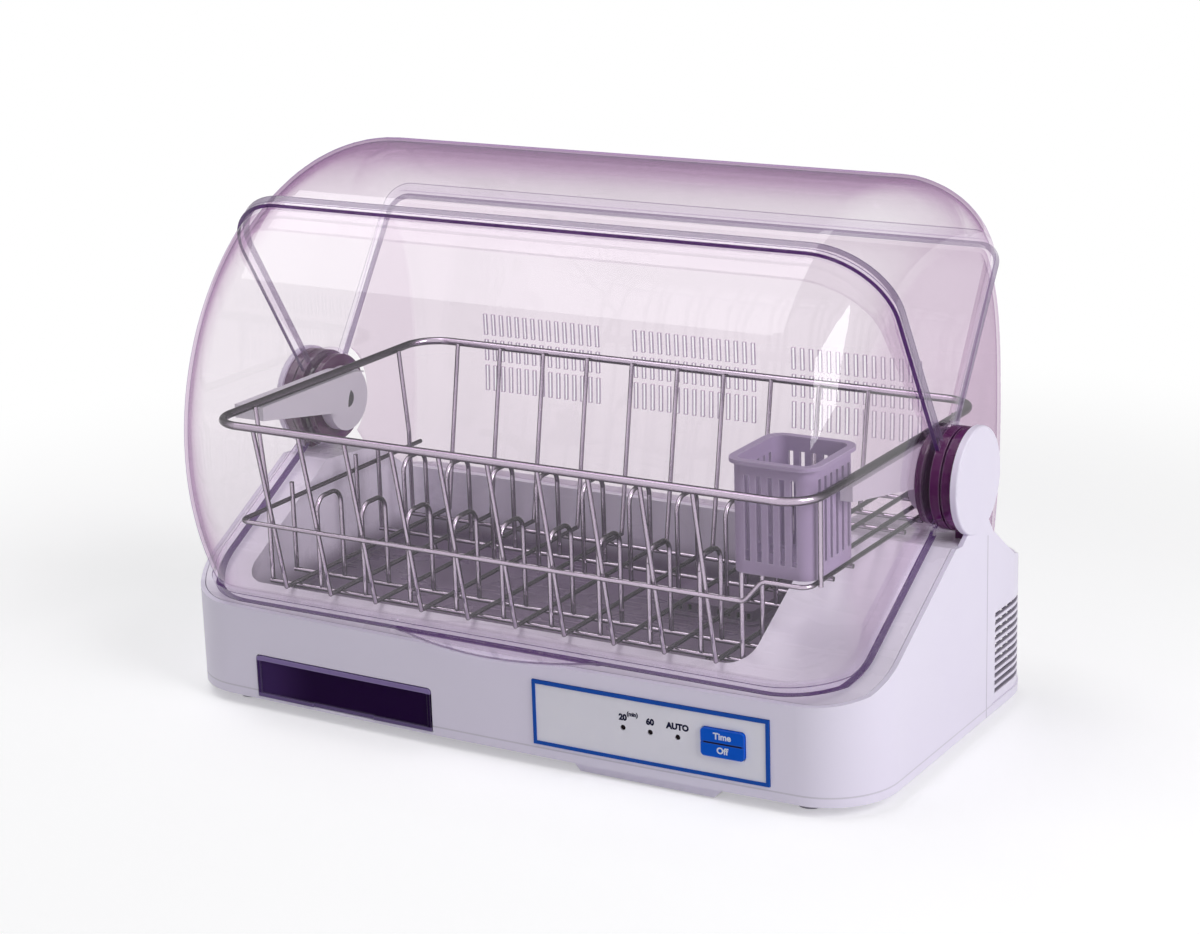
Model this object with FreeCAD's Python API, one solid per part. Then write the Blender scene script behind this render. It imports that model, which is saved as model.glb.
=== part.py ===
"""Dish sterilizer cabinet: pale base, drip drawer, chrome rack and a hood of nested clear shells.

Millimetres. X is the width, the front faces -Y and Z points up. While a piece is being made, y = 0
is the middle of the base's front face and z = 0 is the table; export() moves every piece so that
the origin is the bottom centre of the whole cabinet.
"""
import FreeCAD, Part
import math
import os

from FreeCAD import Placement, Rotation, Vector

# ---- base --------------------------------------------------------------------------------------
BASE_W = 500.0          # width over the side walls
BASE_D = 265.0          # depth over the front and rear walls
FOOT_H = 7.0            # table to the underside of the pan
SEAM_H = 6.0            # height of the pan's edge
LIP_H = 60.0            # pan underside to the top of the front wall
WALL = 3.0              # wall thickness of the base
PLAN_R = 45.0           # upright corners of the base
FRONT_BOW = 5.0         # how far the front face curves back at its ends
REAR_SEAM_Y = 187.0     # upright seam between the front and rear parts of the base wall
SEAM_GROOVE = 0.6       # step at that seam
SHOULDER_FRONT_Y = 25.0     # the side wall starts to climb here
SHOULDER_FRONT_RISE = 6.5   # above the front wall
SHOULDER_BACK_Y = 130.0     # and ends its climb in front of the ear
SHOULDER_H = 125.0          # height there above the pan's underside
SHOULDER_FALL = 5.5         # how much lower the wall is behind the ear
REAR_WALL_H = 88.0          # height of the rear wall above the pan's underside
PAN_T = 2.0
FEET_PLACES = ((-205.0, 24.0), (205.0, 24.0), (-205.0, 238.0), (205.0, 238.0))
SCREW_PLACES = ((-225.0, 60.0), (225.0, 60.0), (-225.0, 215.0), (225.0, 238.0))
BOSS_R = 4.0            # screw bosses of the pan
SCREW_R = 1.4
SCREW_HEAD_R = 3.0
KICK_X = (54.0, 156.0)      # block under the pan, behind the control panel
KICK_Y = (4.0, 34.0)
KICK_LIFT = 1.0
GLAND_X = -150.0        # cord inlet in the rear wall
GLAND_H = 22.0
GLAND_R = 7.0
GLAND_OUT = 6.0
CORD_R = 3.4

# ---- hood axis and ears ----------------------------------------------------------------------
AXIS_Y = 160.0          # hood axis behind the front face
AXIS_H = 160.0          # hood axis above the pan's underside
EAR_R = 33.5            # round ears on the side walls
EAR_PROUD = 1.5         # how far the ears stand out from the walls
PIN_R = 6.0
PIN_CLEARANCE = 0.06    # radial running clearance of the hubs on the pins
HUB_R = 32.0
HUB_LENGTH = 4.0        # middle cover's hubs, along the axis
HUB_GROOVE = 1.4        # groove that parts each front hub into two rings
TAB_DEPTH = 3.0         # tab under each front hub
TAB_W = 10.0
END_PLAY = 0.4          # axial play between neighbouring hubs

# ---- hood shells -------------------------------------------------------------------------------
COVER_R = 184.0         # outer radius of the front cover
COVER_HALF = 233.0      # half width of the front cover
COVER_T = 2.2           # wall of the clear shells
COVER_FILLET = 46.0     # rounding between barrel and end
NEST_GAP = 2.0          # air between one shell and the next
FLANGE_RISE = 2.5       # how far the rims stand out
FLANGE_W = 8.0          # width of the rims
FRONT_EDGE = 31.0       # front cover's upper edge, degrees forward of upright
OVERLAP = 7.0           # degrees by which the middle cover reaches under the front cover
MIDDLE_ROUND_END = -14.0    # the middle cover leaves its circle here, degrees forward of upright
MIDDLE_REAR_EDGE = -34.5    # and ends here
MIDDLE_REAR_R = 152.0       # outer radius of its rear edge
MIDDLE_REAR_FILLET = 14.0
REAR_TOP = (77.5, 125.0)    # top rear corner of the rear cover, measured from the axis (y, z)
REAR_WALL_OUT = 102.5       # rear cover's wall behind the axis
REAR_FOOT_IN = 13.0         # its foot, in front of the base's rear face
REAR_FILLET = 8.0
LIP_HALF = 85.0         # half width of the finger lip
LIP_DEPTH = 15.0        # how far the finger lip stands out
LIP_X = 5.0

# ---- vent slots in the rear cover -------------------------------------------------------------
VENT_PITCH = 6.5
VENT_W = 2.4
VENT_ROWS = ((187.0, 202.0), (168.5, 183.5), (147.0, 165.0))    # heights above the pan's underside
VENT_GROUPS = (-121.0, 0.0, 121.0)
VENT_COUNT = 15

# ---- deck and basin ----------------------------------------------------------------------------
DECK_T = 2.5
DECK_CLEARANCE = 0.5
BASIN_X = (-213.0, 160.0)
BASIN_Y = (30.0, 228.0)
BASIN_FLOOR_H = 45.0
BASIN_R = 16.0
DRAIN = (-115.0, 62.0)
DRAIN_R = 8.0

# ---- drip drawer -------------------------------------------------------------------------------
DRAWER_X = (-184.0, -46.0)      # opening in the front wall
DRAWER_TOP_H = 31.0
DRAWER_R = 3.0                  # upper corners of the opening
DRAWER_GAP = 0.8                # all round the drawer's face
DRAWER_RIM = 2.5                # raised edge round the face
GRIP_HALF = 24.0                # finger notch under the face
DRAWER_DEPTH = 150.0
DRAWER_T = 2.0
GUIDE_H = 14.0
GUIDE_T = 2.5

# ---- control panel -----------------------------------------------------------------------------
PANEL_X = (29.0, 189.0)
PANEL_H = (8.5, 50.0)
BEZEL_W = 2.2
BEZEL_T = 2.4
PANEL_GAP = 0.3
BUTTON_X = (145.0, 173.5)
BUTTON_H = (22.0, 39.5)
BUTTON_R = 2.4
BUTTON_RISE = 1.8
BUTTON_GAP = 0.4
LENS_X = (92.0, 110.5, 129.0)
LENS_H = 29.5
LENS_R = 1.7
BOARD_Y = 13.0
BOARD_T = 1.6
SWITCH_H = 2.6
BUTTON_TRAVEL = 1.2
RELAY_X = (60.0, 82.0)      # parts on the back of the board
RELAY_H = (14.0, 30.0)
RELAY_DEPTH = 14.4
CHIP_X = (100.0, 126.0)
CHIP_H = (22.0, 32.0)
CHIP_DEPTH = 3.4
CAPACITOR = (50.0, 24.0)
CAPACITOR_R = 5.0
CAPACITOR_DEPTH = 16.4

# ---- louvres at the rear corner ---------------------------------------------------------------
LOUVRE_COUNT = 11
LOUVRE_PITCH = 5.0
LOUVRE_W = 2.4
LOUVRE_R = 0.9          # rounded outer edges of the bars
LOUVRE_H = 12.0         # lowest slot above the pan's underside

# ---- drying parts ------------------------------------------------------------------------------
BLOWER_X = 198.0
BLOWER_Y = 188.0
BLOWER_R = 33.0
BLOWER_H = (20.0, 52.0)
IMPELLER_R = 27.0
IMPELLER_BLADES = 20
MOTOR_R = 17.0
SHAFT_R = 2.5
DUCT_X = (28.0, 160.0)
DUCT_Y = (150.0, 212.0)
DUCT_T = 2.0
GRILLE_INSET = 6.0      # the grille's opening, in from the edges of the duct
GRILLE_LENGTH = 64.0
GRILLE_H = 9.0          # above the basin's floor
GRILLE_R = 4.0
GRILLE_RIM = 4.0
GRILLE_SLOTS = 9
GRILLE_SLOT_W = 2.8
HEATER_ALONG = (84.0, 112.0)    # from the duct's closed end
HEATER_GAPS = 9
TERMINAL_X = (-90.0, -50.0)
TERMINAL_BACK = (45.0, 20.0)    # in front of the base's rear face
TERMINAL_H = 18.0
TERMINAL_WAYS = 4

# ---- rack ----------------------------------------------------------------------------------------
RAIL_R = 2.6            # top rail
WIRE_R = 1.5            # all thinner wires
RACK_X = (-203.0, 218.0)
RACK_Y = (-5.0, 238.0)      # front and rear of the top rail
RAIL_H = 186.0
RAIL_CORNER = 22.0
MID_H = 117.0
MID_Y = 13.0
FLOOR_RISE = 12.0           # rack floor above the top of the front wall
FLOOR_Y = (24.0, 214.0)
DEEP_X = (-195.0, 155.0)    # deep part of the rack
SHELF_H = 131.0
UPRIGHT_PITCH = 35.0
DIVIDER_RISE = 58.0
DIVIDER_ROWS = (38.0, 136.0)
DIVIDER_SPAN = 26.0
LEG_X = (-178.0, 130.0)
ARM_T = 8.0
ARM_HUB_R = 22.0
ARM_FRONT_Y = 46.0
REST_GAP = 0.2          # between a round wire and what lies on or under it

# ---- cutlery holder ------------------------------------------------------------------------------
HOLDER_X = (158.0, 211.0)
HOLDER_Y = (16.0, 74.0)
HOLDER_TOP_H = 201.0
HOLDER_T = 2.0
HOLDER_R = 9.0
HOLDER_RIM = 3.0        # how far its rim stands out
HOLDER_SLOT_W = 3.2
HOLDER_SLOT_PITCH = 7.5
HOLDER_SLOT_ENDS = (8.0, 9.0)   # plain bands below and above the slots
HOLDER_HOLES = 4        # drain holes each way in its floor
HOLDER_HOLE_R = 2.2
HOLDER_HOLE_IN = 11.0

# ---- derived -------------------------------------------------------------------------------------
PAN_Z = FOOT_H
SEAM_Z = FOOT_H + SEAM_H
LIP_Z = FOOT_H + LIP_H
FLOOR_H = LIP_H + FLOOR_RISE
AXIS_Z = FOOT_H + AXIS_H
HALF_W = BASE_W / 2
EAR_IN = HALF_W - WALL
BOW_R = (HALF_W ** 2 + FRONT_BOW ** 2) / (2 * FRONT_BOW)
BORE_R = PIN_R + PIN_CLEARANCE
MIDDLE_R = COVER_R - COVER_T - NEST_GAP
MIDDLE_HALF = COVER_HALF - COVER_T - NEST_GAP
MIDDLE_FILLET = COVER_FILLET - NEST_GAP
REAR_HALF = MIDDLE_HALF - COVER_T - NEST_GAP
FRONT_Y = AXIS_Y - COVER_R
REACH = 400.0           # larger than anything, for cutting bodies

os.makedirs("parts", exist_ok=True)


# ---- helpers -------------------------------------------------------------------------------------
def box(x, y, z):
    """Box from three (low, high) pairs."""
    return Part.makeBox(x[1] - x[0], y[1] - y[0], z[1] - z[0], Vector(x[0], y[0], z[0]))


def rod(start, end, radius):
    start, end = Vector(*start), Vector(*end)
    return Part.makeCylinder(radius, (end - start).Length, start, end - start)


def fuse(shapes):
    shapes = list(shapes)
    return shapes[0].multiFuse(shapes[1:]).removeSplitter() if len(shapes) > 1 else shapes[0]


def spread(span, inset, count):
    """Evenly spaced places between two inset ends."""
    step = (span[1] - span[0] - 2 * inset) / (count - 1)
    return [span[0] + inset + index * step for index in range(count)]


def mirrored(shape):
    return shape.mirror(Vector(0, 0, 0), Vector(1, 0, 0))


def upright_edges(shape):
    return [e for e in shape.Edges if abs(abs(e.tangentAt(e.FirstParameter).z) - 1) < 1e-6]


def rounded_box(x, y, z, radius):
    body = box(x, y, z)
    return body.makeFillet(radius, upright_edges(body))


def side_prism(points, half):
    """Prism across the cabinet from a (y, z) outline."""
    outline = [Vector(-half, y, z) for y, z in points]
    return Part.Face(Part.makePolygon(outline + outline[:1])).extrude(Vector(2 * half, 0, 0))


def bow(x, inset=0.0):
    """Depth of the curved front face at x, or of a surface inset behind it."""
    radius = BOW_R - inset
    return BOW_R - math.sqrt(radius ** 2 - x ** 2)


def front_slab(x, z, depth):
    """Plate that follows the curved front face, between two depths behind it."""
    middle = sum(x) / 2
    near = [Vector(v, bow(v, depth[0]), z[0]) for v in (x[0], middle, x[1])]
    far = [Vector(v, bow(v, depth[1]), z[0]) for v in (x[1], middle, x[0])]
    edges = [Part.Arc(*near).toShape(), Part.makeLine(near[2], far[0]), Part.Arc(*far).toShape()]
    edges.append(Part.makeLine(far[2], near[0]))
    return Part.Face(Part.Wire(edges)).extrude(Vector(0, 0, z[1] - z[0]))


def rounded_slab(x, z, depth, radius, foot_too=True):
    """front_slab with its upper corners rounded, and the lower ones too."""
    slab = front_slab(x, z, depth)
    sides = [e for e in slab.Edges if abs(abs(e.tangentAt(e.FirstParameter).y) - 1) < 1e-6]
    lowest = z[0] + (-1 if foot_too else 1)
    return slab.makeFillet(radius, [e for e in sides if e.CenterOfMass.z > lowest])


def plan_prism(inset, z, back=BASE_D):
    """Rounded plan of the base with its bowed front, inset by a wall."""
    half = HALF_W - inset
    left, middle, right = (Vector(v, bow(v, inset), z[0]) for v in (-half, 0.0, half))
    rear_right = Vector(half, back - inset, z[0])
    rear_left = Vector(-half, back - inset, z[0])
    edges = [Part.Arc(left, middle, right).toShape()]
    sides = ((right, rear_right), (rear_right, rear_left), (rear_left, left))
    edges += [Part.makeLine(*ends) for ends in sides]
    body = Part.Face(Part.Wire(edges)).extrude(Vector(0, 0, z[1] - z[0]))
    return body.makeFillet(PLAN_R - inset, upright_edges(body))


def from_axis(y, z):
    return (AXIS_Y + y, AXIS_Z + z)


def on_axis(angle, radius):
    """Point at a radius from the hood axis, angle in degrees forward of upright."""
    turn = math.radians(angle)
    return from_axis(-radius * math.sin(turn), radius * math.cos(turn))


def axis_disc(x, radius):
    return Part.makeCylinder(radius, x[1] - x[0], Vector(x[0], AXIS_Y, AXIS_Z), Vector(1, 0, 0))


def axis_ring(x, radius, bore=BORE_R):
    return axis_disc(x, radius).cut(axis_disc((x[0] - 1, x[1] + 1), bore))


def both_sides(shape):
    return [shape, mirrored(shape)]


# ---- base ------------------------------------------------------------------------------------------
def side_profile(drop=0.0):
    """Top line of the base's side walls, as (y, z) points from front to back."""
    shoulder = (SHOULDER_BACK_Y, FOOT_H + SHOULDER_H)
    behind = (2 * AXIS_Y - SHOULDER_BACK_Y, FOOT_H + SHOULDER_H - SHOULDER_FALL)
    slope_end = (BASE_D - 43.0, FOOT_H + REAR_WALL_H + 8)
    line = [(-1.0, LIP_Z), (SHOULDER_FRONT_Y, LIP_Z + SHOULDER_FRONT_RISE), shoulder, behind, slope_end]
    line += [(BASE_D - 18.0, FOOT_H + REAR_WALL_H), (BASE_D + 1.0, FOOT_H + REAR_WALL_H)]
    return [(y, z - drop) for y, z in line]


def below_profile(drop=0.0, bottom=0.0):
    line = side_profile(drop)
    return side_prism(line + [(line[-1][0], bottom), (line[0][0], bottom)], HALF_W + 1)


def base_wall():
    height = (SEAM_Z, AXIS_Z)
    skin = plan_prism(0, height).cut(plan_prism(WALL, height))
    return skin.common(below_profile())


def base_housing():
    wall = base_wall().common(box((-REACH, REACH), (-REACH, REAR_SEAM_Y), (0, REACH)))
    ear = axis_disc((EAR_IN, HALF_W + EAR_PROUD), EAR_R)
    rim = [e for e in ear.Edges if e.CenterOfMass.x > HALF_W and e.Length > EAR_R]
    ear = ear.makeFillet(EAR_PROUD - 0.3, rim)
    low = FOOT_H + SHOULDER_H - 12
    foot = FOOT_H + SHOULDER_H - SHOULDER_FALL
    neck = [on_axis(158, EAR_R - 0.2), on_axis(-148, EAR_R - 0.2), (REAR_SEAM_Y, foot), (REAR_SEAM_Y, low)]
    neck += [(SHOULDER_BACK_Y + 8, low), (SHOULDER_BACK_Y + 8, FOOT_H + SHOULDER_H - 1.5)]
    neck = side_prism(neck, HALF_W).common(box((EAR_IN, HALF_W), (0, REACH), (0, REACH)))
    wall = fuse([wall] + both_sides(ear) + both_sides(neck))
    wall = wall.cut(rounded_slab(DRAWER_X, (0, PAN_Z + DRAWER_TOP_H), (-2, 2 * WALL), DRAWER_R, False))
    window = (PANEL_X[0] + BEZEL_W, PANEL_X[1] - BEZEL_W)
    window_z = (PAN_Z + PANEL_H[0] + BEZEL_W, PAN_Z + PANEL_H[1] - BEZEL_W)
    recess_z = (PAN_Z + PANEL_H[0] - PANEL_GAP, PAN_Z + PANEL_H[1] + PANEL_GAP)
    recess_x = (PANEL_X[0] - PANEL_GAP, PANEL_X[1] + PANEL_GAP)
    wall = wall.cut(front_slab(recess_x, recess_z, (-2, BEZEL_T - 1)))
    wall = wall.cut(front_slab(window, window_z, (-2, 2 * WALL)))
    posts = []
    for x in (window[0] + 3, window[1] - 3):
        for z in (window_z[0] - 2.4, window_z[1] + 2.4):
            posts.append(rod((x, bow(x) + WALL - 0.5, z), (x, BOARD_Y, z), 2.2))
    return fuse([wall] + posts)


def slot_mouths(shell):
    """Level edges of the louvre slots on the outer face."""
    outside = plan_prism(SEAM_GROOVE, (SEAM_Z, AXIS_Z), BASE_D).Shells[0]
    bottom = PAN_Z + LOUVRE_H
    top = bottom + (LOUVRE_COUNT - 1) * LOUVRE_PITCH + LOUVRE_W
    mouths = []
    for edge in shell.Edges:
        middle = edge.valueAt((edge.FirstParameter + edge.LastParameter) / 2)
        level = edge.BoundBox.ZLength < 1e-6 and bottom - 1e-6 < middle.z < top + 1e-6
        if level and outside.distToShape(Part.Vertex(middle))[0] < 1e-6:
            mouths.append(edge)
    return mouths


def rear_housing():
    back = box((-REACH, REACH), (REAR_SEAM_Y, REACH), (0, REACH))
    height = (SEAM_Z, AXIS_Z)
    skin = plan_prism(SEAM_GROOVE, height, BASE_D).cut(plan_prism(WALL, height))
    shell = skin.common(below_profile(SEAM_GROOVE)).common(back)
    corner = box((HALF_W - 62, HALF_W + 5), (REAR_SEAM_Y + 5, BASE_D + 5), (0, LOUVRE_W))
    for index in range(LOUVRE_COUNT):
        slot = corner.translated(Vector(0, 0, PAN_Z + LOUVRE_H + index * LOUVRE_PITCH))
        shell = shell.cut(slot)
    shell = shell.makeFillet(LOUVRE_R, slot_mouths(shell))
    gland_z = PAN_Z + GLAND_H
    shell = shell.cut(rod((GLAND_X, BASE_D - 10, gland_z), (GLAND_X, BASE_D + 10, gland_z), GLAND_R))
    joint = plan_prism(WALL, (SEAM_Z, SEAM_Z + 40)).cut(plan_prism(WALL + 2, (SEAM_Z, SEAM_Z + 40)))
    lug_zone = box((-REACH, REACH), (REAR_SEAM_Y - 9, REAR_SEAM_Y + 4), (SEAM_Z, SEAM_Z + 40))
    return fuse([shell, joint.common(lug_zone)])


def bottom_plate():
    pan = plan_prism(0, (PAN_Z, SEAM_Z))
    pan = pan.cut(plan_prism(WALL, (PAN_Z + PAN_T, SEAM_Z + 1)))
    pan = pan.cut(front_slab(DRAWER_X, (PAN_Z + PAN_T, SEAM_Z + 1), (-2, 2 * WALL)))
    block = box(KICK_X, KICK_Y, (KICK_LIFT, PAN_Z))
    ends = [e for e in block.Edges if abs(e.CenterOfMass.z - KICK_LIFT) < 1e-6 and e.Length < 50]
    block = block.makeChamfer(PAN_Z - KICK_LIFT - 1, ends)
    bosses = [rod((x, y, PAN_Z), (x, y, SEAM_Z + 8), BOSS_R) for x, y in SCREW_PLACES]
    plate = fuse([pan, block] + bosses)
    for x, y in SCREW_PLACES:
        plate = plate.cut(rod((x, y, PAN_Z - 1), (x, y, PAN_Z + 12), SCREW_R + 0.1))
        plate = plate.cut(rod((x, y, PAN_Z - 1), (x, y, PAN_Z + 1), SCREW_HEAD_R + 0.2))
    return plate


def rubber_feet():
    feet = []
    for x, y in FEET_PLACES:
        foot = Part.makeCone(8.0, 9.5, PAN_Z, Vector(x, y, 0))
        feet.append(foot)
    return Part.makeCompound(feet)


def case_screws():
    screws = []
    for x, y in SCREW_PLACES:
        head = rod((x, y, PAN_Z - 0.6), (x, y, PAN_Z + 1), SCREW_HEAD_R)
        head = head.cut(box((x - 2, x + 2), (y - 0.4, y + 0.4), (PAN_Z - 1, PAN_Z)))
        screws.append(fuse([head, rod((x, y, PAN_Z + 1), (x, y, PAN_Z + 11), SCREW_R)]))
    return Part.makeCompound(screws)


def cord_gland():
    y = BASE_D - SEAM_GROOVE
    z = PAN_Z + GLAND_H
    body = fuse([
        rod((GLAND_X, y - WALL - 4, z), (GLAND_X, y, z), GLAND_R - 0.1),
        rod((GLAND_X, y, z), (GLAND_X, y + 2, z), GLAND_R + 2.5),
        Part.makeCone(GLAND_R, CORD_R + 1.1, GLAND_OUT - 2, Vector(GLAND_X, y + 2, z), Vector(0, 1, 0)),
    ])
    return body.cut(rod((GLAND_X, y - 10, z), (GLAND_X, y + 20, z), CORD_R))


def drip_deck():
    skin = below_profile().cut(below_profile(DECK_T, -REACH))
    skin = skin.common(plan_prism(WALL + DECK_CLEARANCE, (0, AXIS_Z)))
    floor = (PAN_Z + BASIN_FLOOR_H - DECK_T, PAN_Z + BASIN_FLOOR_H)
    outer_x = (BASIN_X[0] - DECK_T, BASIN_X[1] + DECK_T)
    outer_y = (BASIN_Y[0] - DECK_T, BASIN_Y[1] + DECK_T)
    well = rounded_box(BASIN_X, BASIN_Y, (floor[1], AXIS_Z), BASIN_R)
    body = rounded_box(outer_x, outer_y, (floor[0], AXIS_Z), BASIN_R + DECK_T).common(below_profile())
    deck = fuse([skin, body]).cut(well)
    x, y = DRAIN
    spout = rod((x, y, PAN_Z + DRAWER_TOP_H + 3), (x, y, floor[1]), DRAIN_R + DECK_T)
    deck = fuse([deck, spout]).cut(rod((x, y, PAN_Z), (x, y, AXIS_Z), DRAIN_R))
    opening = rounded_box(grille_x(), grille_y(), (0, AXIS_Z), GRILLE_R)
    return deck.cut(opening)


def grille_x():
    start = DUCT_X[0] + GRILLE_INSET
    return (start, start + GRILLE_LENGTH)


def grille_y():
    return (DUCT_Y[0] + GRILLE_INSET, DUCT_Y[1] - GRILLE_INSET)


# ---- drip drawer -----------------------------------------------------------------------------------
def drawer_span():
    return (DRAWER_X[0] + DRAWER_GAP, DRAWER_X[1] - DRAWER_GAP)


def drip_drawer():
    x = drawer_span()
    z = (PAN_Z + PAN_T + 0.4, PAN_Z + DRAWER_TOP_H - DRAWER_GAP)
    face = rounded_slab(x, z, (-0.6, DRAWER_T + 0.6), DRAWER_R - DRAWER_GAP, False)
    rim = DRAWER_RIM
    sunk = rounded_slab((x[0] + rim, x[1] - rim), (z[0] + rim, z[1] - rim - 0.5), (-2, 0.4), 1.5)
    middle = sum(x) / 2
    grip = front_slab((middle - GRIP_HALF, middle + GRIP_HALF), (z[0] - 1, z[0] + 3), (-2, 0.8))
    body_x = (x[0] + 1.6, x[1] - 1.6)
    body_y = (bow(x[0]) + 0.5, DRAWER_DEPTH)
    tray = rounded_box(body_x, body_y, (z[0], z[1] - 3), 6.0)
    inside_x = (body_x[0] + DRAWER_T, body_x[1] - DRAWER_T)
    inside_y = (body_y[0] + DRAWER_T, body_y[1] - DRAWER_T)
    inside = rounded_box(inside_x, inside_y, (z[0] + DRAWER_T, z[1] + 5), 4.0)
    return fuse([face.cut(sunk).cut(grip), tray]).cut(inside)


def drawer_guides():
    x = drawer_span()
    length = (bow(x[0]) + WALL + 0.3, DRAWER_DEPTH - 8)
    height = (PAN_Z + PAN_T, PAN_Z + PAN_T + GUIDE_H)
    left = box((x[0] + 1.1 - GUIDE_T, x[0] + 1.1), length, height)
    right = box((x[1] - 1.1, x[1] - 1.1 + GUIDE_T), length, height)
    stop = box((x[0] + 20, x[1] - 20), (DRAWER_DEPTH + 1, DRAWER_DEPTH + 4), height)
    return Part.makeCompound([left, right, stop])


# ---- controls ----------------------------------------------------------------------------------------
def control_bezel():
    z = (PAN_Z + PANEL_H[0], PAN_Z + PANEL_H[1])
    plate = front_slab(PANEL_X, z, (-1.0, BEZEL_T - 1))
    inner_x = (PANEL_X[0] + BEZEL_W, PANEL_X[1] - BEZEL_W)
    inner_z = (z[0] + BEZEL_W, z[1] - BEZEL_W)
    return plate.cut(front_slab(inner_x, inner_z, (-3, 2 * WALL)))


def label_span():
    x = (PANEL_X[0] + BEZEL_W, PANEL_X[1] - BEZEL_W)
    z = (PAN_Z + PANEL_H[0] + BEZEL_W, PAN_Z + PANEL_H[1] - BEZEL_W)
    return x, z


def control_label():
    x, z = label_span()
    plate = front_slab(x, z, (-0.4, WALL))
    hole_x = (BUTTON_X[0] - BUTTON_GAP, BUTTON_X[1] + BUTTON_GAP)
    hole_z = (PAN_Z + BUTTON_H[0] - BUTTON_GAP, PAN_Z + BUTTON_H[1] + BUTTON_GAP)
    plate = plate.cut(rounded_slab(hole_x, hole_z, (-2, 2 * WALL), BUTTON_R + BUTTON_GAP))
    for lens in LENS_X:
        plate = plate.cut(rod((lens, -5, PAN_Z + LENS_H), (lens, 2 * WALL, PAN_Z + LENS_H), LENS_R))
    return plate


def time_button():
    z = (PAN_Z + BUTTON_H[0], PAN_Z + BUTTON_H[1])
    cap = rounded_slab(BUTTON_X, z, (-0.4 - BUTTON_RISE, WALL - 0.4), BUTTON_R)
    middle = sum(z) / 2
    groove_x = (BUTTON_X[0] - 1, BUTTON_X[1] + 1)
    cap = cap.cut(front_slab(groove_x, (middle - 0.4, middle + 0.4), (-5, 0.2 - BUTTON_RISE)))
    x = sum(BUTTON_X) / 2
    tip = BOARD_Y - SWITCH_H - BUTTON_TRAVEL - 0.1
    stem = rod((x, bow(x) + 1, middle), (x, tip, middle), 3.0)
    return fuse([cap, stem])


def indicator_lenses():
    lenses = []
    for x in LENS_X:
        start = bow(x) - 0.9
        dome = Part.makeSphere(LENS_R, Vector(x, start + LENS_R, PAN_Z + LENS_H))
        guide = rod((x, start + LENS_R, PAN_Z + LENS_H), (x, BOARD_Y, PAN_Z + LENS_H), LENS_R)
        lenses.append(fuse([dome, guide]))
    return Part.makeCompound(lenses)


def control_board():
    x, z = label_span()
    board = box((x[0] - 4, x[1] + 4), (BOARD_Y, BOARD_Y + BOARD_T), (z[0] - 6, z[1] + 6))
    middle = (sum(BUTTON_X) / 2, PAN_Z + sum(BUTTON_H) / 2)
    switch_x, switch_z = ((at - 5, at + 5) for at in middle)
    switch = box(switch_x, (BOARD_Y - SWITCH_H, BOARD_Y), switch_z)
    back = BOARD_Y + BOARD_T
    relay = box(RELAY_X, (back, back + RELAY_DEPTH), [PAN_Z + h for h in RELAY_H])
    chip = box(CHIP_X, (back, back + CHIP_DEPTH), [PAN_Z + h for h in CHIP_H])
    can_x, can_z = CAPACITOR[0], PAN_Z + CAPACITOR[1]
    can = rod((can_x, back, can_z), (can_x, back + CAPACITOR_DEPTH, can_z), CAPACITOR_R)
    return fuse([board, switch, relay, chip, can])


# ---- drying parts ------------------------------------------------------------------------------------
def blower_z(height):
    return PAN_Z + height


def fan_motor():
    top = blower_z(BLOWER_H[0])
    can = rod((BLOWER_X, BLOWER_Y, PAN_Z + PAN_T), (BLOWER_X, BLOWER_Y, top), MOTOR_R)
    collar = rod((BLOWER_X, BLOWER_Y, top), (BLOWER_X, BLOWER_Y, top + 4), SHAFT_R + 3)
    shaft = rod((BLOWER_X, BLOWER_Y, top), (BLOWER_X, BLOWER_Y, blower_z(BLOWER_H[1]) - 8), SHAFT_R)
    return fuse([can, collar, shaft])


def fan_impeller():
    low = blower_z(BLOWER_H[0]) + 5
    high = blower_z(BLOWER_H[1]) - 5
    plate = rod((BLOWER_X, BLOWER_Y, low), (BLOWER_X, BLOWER_Y, low + 1.5), IMPELLER_R)
    hub = rod((BLOWER_X, BLOWER_Y, low), (BLOWER_X, BLOWER_Y, high - 6), SHAFT_R + 3)
    blade = box((IMPELLER_R - 6, IMPELLER_R - 0.5), (-0.6, 0.6), (low + 1, high))
    blade.rotate(Vector(IMPELLER_R - 3, 0, 0), Vector(0, 0, 1), 35)
    blades = []
    for index in range(IMPELLER_BLADES):
        turned = blade.copy()
        turned.rotate(Vector(0, 0, 0), Vector(0, 0, 1), index * 360 / IMPELLER_BLADES)
        blades.append(turned.translated(Vector(BLOWER_X, BLOWER_Y, 0)))
    ring = rod((BLOWER_X, BLOWER_Y, high - 2), (BLOWER_X, BLOWER_Y, high), IMPELLER_R)
    ring = ring.cut(rod((BLOWER_X, BLOWER_Y, low), (BLOWER_X, BLOWER_Y, high + 1), IMPELLER_R - 6.5))
    wheel = fuse([plate, hub, ring] + blades)
    return wheel.cut(rod((BLOWER_X, BLOWER_Y, low - 1), (BLOWER_X, BLOWER_Y, high + 1), SHAFT_R + 0.05))


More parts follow.
